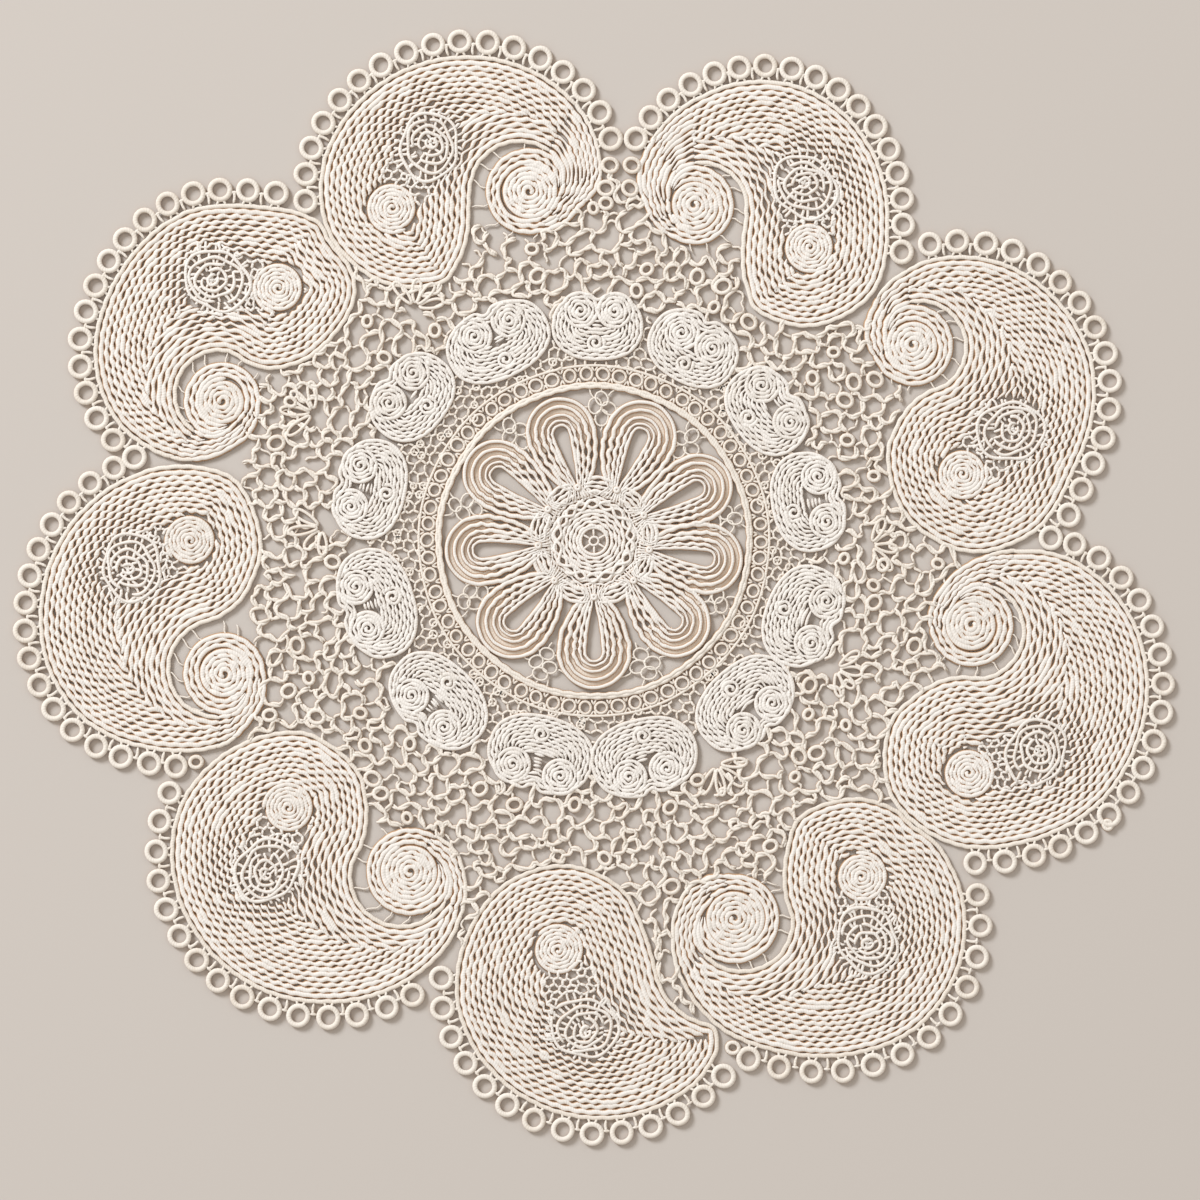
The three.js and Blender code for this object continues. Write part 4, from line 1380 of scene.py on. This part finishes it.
def layHub(bundle):
    # a coil, three waved rows, two cords wound about each other between them, and spokes inside two rings:
    # radius + sway * sin(waves * a + uneven), where uneven is a small slower wave
    waves = hubLook["waves"]
    layCoil(bundle, hub, *hubLook["coil"], 1400, hubCoil, start=20)
    angle = anglesRound(220)
    much, slow = hubLook["rowUneven"]
    wave = hubLook["rowWave"] * np.sin(waves * angle + much * np.sin(slow * angle))
    reach = np.add.outer(hubLook["rows"], wave)
    grid = hub + reach[:, :, None] * ray(angle)
    weave(bundle, grid, np.ones(reach.shape, bool), True, 1410, hubRows)
    angle = anglesRound(110)
    radius, sway, half, high = hubLook["cord"]
    middle, rise = hubLook["cordMiddle"]
    much, slow = hubLook["cordUneven"]
    for phase in (0, math.pi):
        reach = radius + sway * np.sin(waves * angle + phase + much * np.sin(slow * angle))
        over = middle + rise * np.sin(2 * waves * angle + phase)
        addStrand(bundle, hub + reach[:, None] * ray(angle), half, over, high, closed=True,
                  tone=hubLook["cordTone"])
    for ring in hubLook["rings"]:
        layRing(bundle, hub, *ring)
    count, (start, stop), half = hubLook["spokes"]
    first, more = hubLook["spokeAt"]
    for n in range(count):
        spoke = ray(turn * n / count + first + more * float(chance(n, 77)))
        addStrand(bundle, evenly(hub + spoke * [[start], [stop]], 0.7), half, hubLook["spokeMiddle"])


bundle = newBundle()
layHub(bundle)
makePiece("flower_centre_rosette", bundle, flaredSection(0.8, 1.3, -1.3), "brightCotton",
          ["flower_centre"])
print("flower centre laid")


# fine nets round the flower and inside the ring of medallions

fineNet = {"cell": 3.6, "jitter": 0.3, "bow": 0.14, "sway": 0.06, "steps": 4, "half": 0.36, "middle": 0.8,
           "rise": 0.15, "missing": 0.04, "knot": 0.4,
           "rings": 0.12,  # the share of meeting points with a ring
           "ring": (0.935, 0.44, 0.324, 0.95),  # least radius, what chance may add, half width, middle
           "between": (57.2, 73.2)}  # radii round the hub
petalNetLook = {
    "at": 43.4,  # from the hub
    # where the loops of a net lie, and where its ties begin and the way they lead, along and aside
    "loops": np.array([[-3.2, 0.0], [0.2, -2.3], [0.6, 2.3], [3.4, 0.2]]),
    "ties": [(-5.2, 0.0, 175), (0.2, -4.4, -95), (0.6, 4.4, 80), (3.4, 2.3, 25), (3.4, -2.0, -35),
             (5.4, 0.2, -8), (-3.2, 2.0, 120), (-3.2, -2.0, -130)],
    "loop": (2.1, 0.3),  # the least radius, and how much more chance may add
    "jitter": 0.5,       # how far chance moves a loop, from side to side
    "oval": 0.12,
    "half": 0.36,
    "rise": (0.9, 0.1),  # the height of the first loop's middle, and how much higher each next one lies
    "tieHalf": 0.324,
    "tieMiddle": 0.85,
    "tieLean": 14,  # the most degrees that chance turns a tie
    "tieWay": (1, 9, 0.35),  # a tie is at least, and under, so long, and is tried at these steps
    "bow": 0.12,
    "sway": 0.06,
}


def underMedallions(places):
    near, far = fineNet["between"]
    away = awayFrom(places, hub)
    free = (away > near) & (away < far)
    for outline in medallionOutlines.values():
        free &= ~inside(places, outline)
    return free


def layPetalNet(bundle, number, look):
    # a little net of four loops in the gap between two petals, with ties that run on until they meet a
    # petal or the band
    middleAngle = petalGap(number, 0.5)
    way = ray(middleAngle)
    centre = hub + look["at"] * way
    loops = look["loops"] + look["jitter"] * (chance(np.arange(8) + 9 * number, 1500).reshape(4, 2) - 0.5)
    (least, more), (low, rise) = look["loop"], look["rise"]
    for n, place in enumerate(placed(loops, centre, way)):
        radius = least + more * float(chance(n, 1510 + number))
        layRing(bundle, place, radius, look["half"], low + rise * n, 14, 10 * number + n, look["oval"])
    for n, (along, aside, lean) in enumerate(look["ties"]):
        start = placed(np.array([along, aside]), centre, way)
        heading = middleAngle + math.radians(lean + look["tieLean"] * float(chance(n, 1520 + number)))
        walk = start + np.arange(*look["tieWay"])[:, None] * ray(heading)
        met = awayFrom(walk, hub) > bandLook["cords"][0][0]
        for outline in petalOutlines:
            met |= inside(walk, outline)
        stop = walk[int(np.argmax(met))] if met.any() else walk[4]
        path = bowed(np.array([[start, stop]]), look["bow"], look["sway"], 4)[0]
        addStrand(bundle, path, look["tieHalf"], look["tieMiddle"])


bundle = newBundle()
for number in range(len(petalLooks)):
    layPetalNet(bundle, number, petalNetLook)
makePiece("petal_nets", bundle, roundSection(5), "warmCotton",
          [f"petal_net_{n + 1}" for n in range(len(petalLooks))])
bundle = newBundle()
reach = fineNet["between"][1] + 1.8
layNet(bundle, underMedallions, gridSeeds(hub - reach, (2 * reach, 2 * reach), fineNet, 1600), fineNet, 1600)
makePiece("inner_net_threads", bundle, flaredSection(0.85, 1.25, -0.8), "warmCotton", ["inner_net"])
print("fine nets laid")


# ground net

groundNet = {"cell": 5.7, "jitter": 0.42, "bow": 0.34, "sway": 0.12, "steps": 5, "half": 0.35, "middle": 0.8,
             "knot": 0.45, "rise": 0.2, "missing": 0.12,
             "shortest": 1.1,     # shorter sides of the net carry no thread
             "cutShort": 0.5,     # threads that rings cut shorter than this are left out
             "fromHub": 72.0,
             "least": 12}         # groups of this many meeting points or fewer are left out
# the share of meeting points where a walk starts, how often it turns its own way, its fewest steps and
# more
walkLook = {"share": 0.75, "curl": 0.8, "steps": (3, 6)}
cordLook = {"half": 0.46, "swell": 0.12, "apart": 0.44, "wind": 10.0, "middle": 1.0, "rise": 0.22,
            "bow": 0.36,
            "knee": 1.9,   # the cord is rounded between points this far apart
            "least": 4.2}  # cords that span no more than this are left out
meetingRings = {"share": 0.065,       # of the meeting points
                "radius": (1.5, 0.9),  # the least, and what chance may add
                "room": 2.4,           # the net reaches this far to all sides of a ring
                "apart": 5.2, "half": 0.58, "middle": 1.15, "oval": 0.1}
leafLook = {"from": 1.6, "long": (6.72, 2.94), "wide": 1.35, "taper": 0.3, "half": 0.45,
            "middle": (1.1, 0.15), "leaves": 4, "spread": 120.0, "stray": 0.3, "clear": 4.0}
# leaves spread from these places, given as shares of the mat's box from its left side and from its far
# side, the way the angle says
leafPlaces = [(0.345, 0.248, 60.0), (0.258, 0.343, 150.0), (0.265, 0.446, 200.0), (0.739, 0.462, 0.0),
              (0.709, 0.573, -30.0), (0.606, 0.659, -60.0)]
# rings that join the lobes outside the net: shares of the mat's box from its lowest corner, and a radius
looseRings = [(0.5138, 0.880, 2.35), (0.5328, 0.880, 2.35), (0.5103, 0.8593, 2.35), (0.5311, 0.8593, 2.35),
              (0.5103, 0.8458, 1.9), (0.620, 0.086, 1.9), (0.156, 0.343, 1.9), (0.944, 0.2865, 1.4)]
looseRingLook = {"half": 0.58, "middle": 1.1, "clear": 0.4, "oval": 0.06}
groundOutline = topLoops("ground_net")[0]


def inGround(places):
    # inside the CAD net, or between a lobe's CAD outline and its lace, away from curls and medallions
    free = inside(places, groundOutline) & (awayFrom(places, hub) > groundNet["fromHub"])
    for body in bodies.values():
        beside = inside(places, body["whole"]) & ~inside(places, body["outline"])
        discs = [(x, y, radius + 0.5) for x, y, radius in (body["pocket"], body["curl"])]
        free |= beside & clearOf(places, discs)
    for outline in medallionOutlines.values():
        free &= ~inside(places, outline)
    return free


def walksOver(pairs, places, barred, look, seed):
    # walks from meeting point to meeting point along threads that no walk has used yet, mostly turning one
    # way and never to a barred point. Returns the walks, and the numbers of the pairs that no walk uses
    beside = {}
    for n, (a, b) in enumerate(pairs.tolist()):
        if a not in barred and b not in barred:
            beside.setdefault(a, []).append((b, n))
            beside.setdefault(b, []).append((a, n))
    used, walks = set(), []
    starts = sorted(beside, key=lambda n: float(chance(n, seed)))
    fewest, more = look["steps"]
    for start in starts[:int(len(starts) * look["share"])]:
        walk, taken = [start], []
        sense = 1 if chance(start, seed + 1) < 0.5 else -1
        for step in range(fewest + int(more * float(chance(start, seed + 2)))):
            free = [(b, n) for b, n in beside[walk[-1]] if n not in used]
            if not free:
                break
            b, n = free[0]
            if len(walk) > 1:
                heading = places[walk[-1]] - places[walk[-2]]
                turns = [sense * float(leftOf(heading) @ (places[b] - places[walk[-1]])) for b, _ in free]
                follow = chance(start * 7 + step, seed + 3) < look["curl"]
                b, n = free[int(np.argmax(turns) if follow else np.argmin(turns))]
            used.add(n)
            taken.append(n)
            walk.append(b)
        if len(walk) > 2:
            walks.append(walk)
        else:
            used.difference_update(taken)
    return walks, np.array([n for n in range(len(pairs)) if n not in used])


def layCord(bundle, path, look, seed):
    # two strands wound about each other: the path +- apart * cos(turn * way / wind) to the side
    line = evenly(path, 1.0)
    along = np.arange(len(line))
    aside = leftOf(unit(np.gradient(line, axis=0)))
    wound = turn * (along / look["wind"] + float(chance(seed, 61)))
    for side in (-1, 1):
        offset = side * look["apart"] * np.cos(wound)
        half = look["half"] * (1 + look["swell"] * drift(along / 3.0, seed + side))
        middle = look["middle"] + look["rise"] * side * np.sin(wound)
        addStrand(bundle, line + aside * offset[:, None], half, middle, tone=float(chance(seed + side, 62)))


def groupSizes(pairs, count):
    # how many points hang together with each one: the lowest number of a group is passed along its pairs
    # until nothing changes
    group, before = np.arange(count), None
    while before is None or (group != before).any():
        before = group.copy()
        np.minimum.at(group, pairs[:, 0], before[pairs[:, 1]])
        np.minimum.at(group, pairs[:, 1], before[pairs[:, 0]])
    return np.bincount(group, minlength=count)[group]


def layGround(bundle, look, allowed, seed):
    # walks over a net of cells become winding cords, most threads that are left stay thin, and some
    # meeting points become rings
    middles, pairs = cellNet(gridSeeds(*boxOf("ground_net"), look, seed))
    long = np.linalg.norm(middles[pairs[:, 1]] - middles[pairs[:, 0]], axis=1)
    pairs = pairs[allowed(middles[pairs].mean(1)) & (long > look["shortest"])]
    meeting = np.unique(pairs)
    ringed = meeting[chance(meeting, seed + 13) < meetingRings["share"]]
    apart = np.hypot(*(middles[ringed][:, None] - middles[ringed][None]).T) + 99 * np.tri(len(ringed))
    around = middles[ringed][:, None] + meetingRings["room"] * ray(anglesRound(8))
    free = allowed(around.reshape(-1, 2)).reshape(-1, 8).all(1)
    ringed = ringed[(apart.min(1) > meetingRings["apart"]) & free]
    walks, rest = walksOver(pairs, middles, set(ringed.tolist()), walkLook, seed)
    rest = rest[chance(rest, seed + 5) > look["missing"]]
    # threads and rings that hang on to too little else are left out
    steps = [np.stack([walk[:-1], walk[1:]], 1) for walk in walks]
    isLarge = groupSizes(np.vstack([pairs[rest]] + steps), len(middles)) > look["least"]
    rest = rest[isLarge[pairs[rest, 0]]]
    ringed = ringed[isLarge[ringed]]
    for n, (walk, ends) in enumerate(zip(walks, steps)):
        bow = cordLook["bow"] * (2 * chance(np.arange(len(ends)) + 20 * n, seed + 4) - 1)
        legs = bowed(middles[ends], bow, 0 * bow, 4)
        path = np.vstack([leg[:-1] for leg in legs] + [legs[-1][-1:]])
        if isLarge[walk[0]] and np.ptp(path, axis=0).max() > cordLook["least"]:
            layCord(bundle, rounded(evenly(path, cordLook["knee"]), 3), cordLook, seed + n)
    # a thread that ends at a ring stops at the ring's edge
    radii = np.zeros(len(middles))
    least, more = meetingRings["radius"]
    radii[ringed] = least + more * chance(ringed, seed + 14)
    ends, cut = middles[pairs[rest]], radii[pairs[rest]]
    way = unit(ends[:, 1] - ends[:, 0])
    long = np.linalg.norm(ends[:, 1] - ends[:, 0], axis=1)
    ends = np.stack([ends[:, 0] + way * cut[:, :1], ends[:, 1] - way * cut[:, 1:]], 1)
    layThreads(bundle, ends[long - cut.sum(1) > look["cutShort"]], look, seed + 6)
    for n in ringed:
        layRing(bundle, middles[n], radii[n], meetingRings["half"], meetingRings["middle"], 14, seed + n,
                meetingRings["oval"])


def layLeaves(bundle, centre, heading, look, seed):
    # narrow loops that spread from one place like leaves: along = from + long * (1 - cos a) / 2 and
    # aside = wide * sin a * (1 - taper * cos a)
    a = anglesRound(18)
    shortest, more = look["long"]
    low, every = look["middle"]
    for n in range(look["leaves"]):
        share = (n + look["stray"] * float(chance(n, seed))) / (look["leaves"] - 1)
        lean = math.radians(heading + look["spread"] * (share - 0.5))
        long = shortest + more * float(chance(n, seed + 1))
        local = np.stack([look["from"] + long * (1 - np.cos(a)) / 2,
                          look["wide"] * np.sin(a) * (1 - look["taper"] * np.cos(a))], 1)
        addStrand(bundle, placed(local, centre, ray(lean)), look["half"], low + every * (n % 2), closed=True,
                  tone=float(chance(n, seed + 2)))


matLow, matHigh = np.array(startBox)[:, :2] / mm
leafCentres = [matLow + (matHigh - matLow) * [x, 1 - y] for x, y, _ in leafPlaces]
ringCentres = [matLow + (matHigh - matLow) * [x, y] for x, y, _ in looseRings]
keptClear = [(*centre, leafLook["clear"]) for centre in leafCentres]
for centre, (_, _, radius) in zip(ringCentres, looseRings):
    keptClear.append((*centre, radius + looseRingLook["clear"]))

bundle = newBundle()
layGround(bundle, groundNet, lambda places: inGround(places) & clearOf(places, keptClear), 1700)
for number, (centre, (_, _, heading)) in enumerate(zip(leafCentres, leafPlaces)):
    layLeaves(bundle, centre, heading, leafLook, 1900 + number)
for number, (centre, (_, _, radius)) in enumerate(zip(ringCentres, looseRings)):
    layRing(bundle, centre, radius, looseRingLook["half"], looseRingLook["middle"], 16, 1950 + number,
            looseRingLook["oval"])
makePiece("ground_net_cords", bundle, flaredSection(0.9, 1.3, -0.9), "warmCotton", ["ground_net"])
print("ground net laid")


# threads that bridge the crescents round the curls

bridgeLook = {
    "half": 0.3,
    "middle": 0.8,
    "count": 9,
    "spread": 118,          # degrees to each side of the crescent's widest place
    "lean": 0.16,
    "under": (0.7, 0.6),    # how far the ends run in under the curl and under the pocket's edge
    "bow": 0.12,
    "sway": 0.08,
}


def layBridges(bundle, curl, pocket, look, number):
    # threads from the curl's edge to the pocket's, at nearly equal angles round the crescent
    widest = headingOf(pocket[:2] - curl[:2])
    inCurl, inEdge = look["under"]
    for n in range(look["count"]):
        share = (n + 0.5 * float(chance(n, 2000 + number))) / look["count"]
        angle = widest + math.radians(look["spread"] * (2 * share - 1))
        lean = angle + look["lean"] * (2 * float(chance(n, 2100 + number)) - 1)
        ends = [curl[:2] + (curl[2] - inCurl) * ray(angle), pocket[:2] + (pocket[2] + inEdge) * ray(lean)]
        path = bowed(np.array([ends]), look["bow"], look["sway"], 5)[0]
        addStrand(bundle, path, look["half"], look["middle"])


bundle = newBundle()
for number, body in enumerate(bodies.values()):
    if body["curl"][2]:
        layBridges(bundle, body["curl"], body["pocket"], bridgeLook, number)
makePiece("curl_bridges", bundle, roundSection(5), "warmCotton")
print("bridges laid")


# table, light and camera, in metres

tableLook = {"half": 3.0, "colour": (0.592, 0.574, 0.562, 1), "rough": 0.75, "specular": 0.2}
windowLook = {"place": (-2.6, 2.7, 2.5), "size": 1.25, "power": 165, "colour": (1.0, 0.995, 0.985)}
skyLook = {"colour": (1.0, 0.89, 0.775, 1), "strength": 0.62}
cameraLook = {"lens": 135, "end": 20, "place": (0.00195, -0.00406, 1.4735)}


def addObject(name, data):
    obj = bpy.data.objects.new(name, data)
    bpy.context.scene.collection.objects.link(obj)
    return obj


def makeTable(look):
    # a level square just under the mat
    mesh = bpy.data.meshes.new("tableTop")
    corners = [(x * look["half"], y * look["half"], 0) for x, y in ((-1, -1), (1, -1), (1, 1), (-1, 1))]
    mesh.from_pydata(corners, [], [(0, 1, 2, 3)])
    material = bpy.data.materials.new("paleTable")
    material.use_nodes = True
    shader = material.node_tree.nodes["Principled BSDF"]
    shader.inputs["Base Color"].default_value = look["colour"]
    shader.inputs["Roughness"].default_value = look["rough"]
    shader.inputs["Specular IOR Level"].default_value = look["specular"]
    mesh.materials.append(material)
    addObject("tableTop", mesh)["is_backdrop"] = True


def makeWindow(look):
    # a square area light that faces the middle of the mat
    data = bpy.data.lights.new("windowLight", "AREA")
    data.size = look["size"]
    data.energy = look["power"]
    data.color = look["colour"]
    lamp = addObject("windowLight", data)
    lamp.location = look["place"]
    lamp.rotation_euler = (-Vector(look["place"])).to_track_quat("-Z", "Y").to_euler()


def makeSky(look):
    world = bpy.data.worlds.new("studio")
    world.use_nodes = True
    background = world.node_tree.nodes["Background"]
    background.inputs[0].default_value = look["colour"]
    background.inputs[1].default_value = look["strength"]
    bpy.context.scene.world = world


def makeCamera(look):
    # looks straight down
    data = bpy.data.cameras.new("above")
    data.lens = look["lens"]
    data.clip_end = look["end"]
    camera = addObject("above", data)
    camera.location = look["place"]
    bpy.context.scene.camera = camera


makeTable(tableLook)
makeWindow(windowLook)
makeSky(skyLook)
makeCamera(cameraLook)
bpy.context.scene.view_settings.view_transform = "Standard"
print("table, light and camera placed")

low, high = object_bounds()
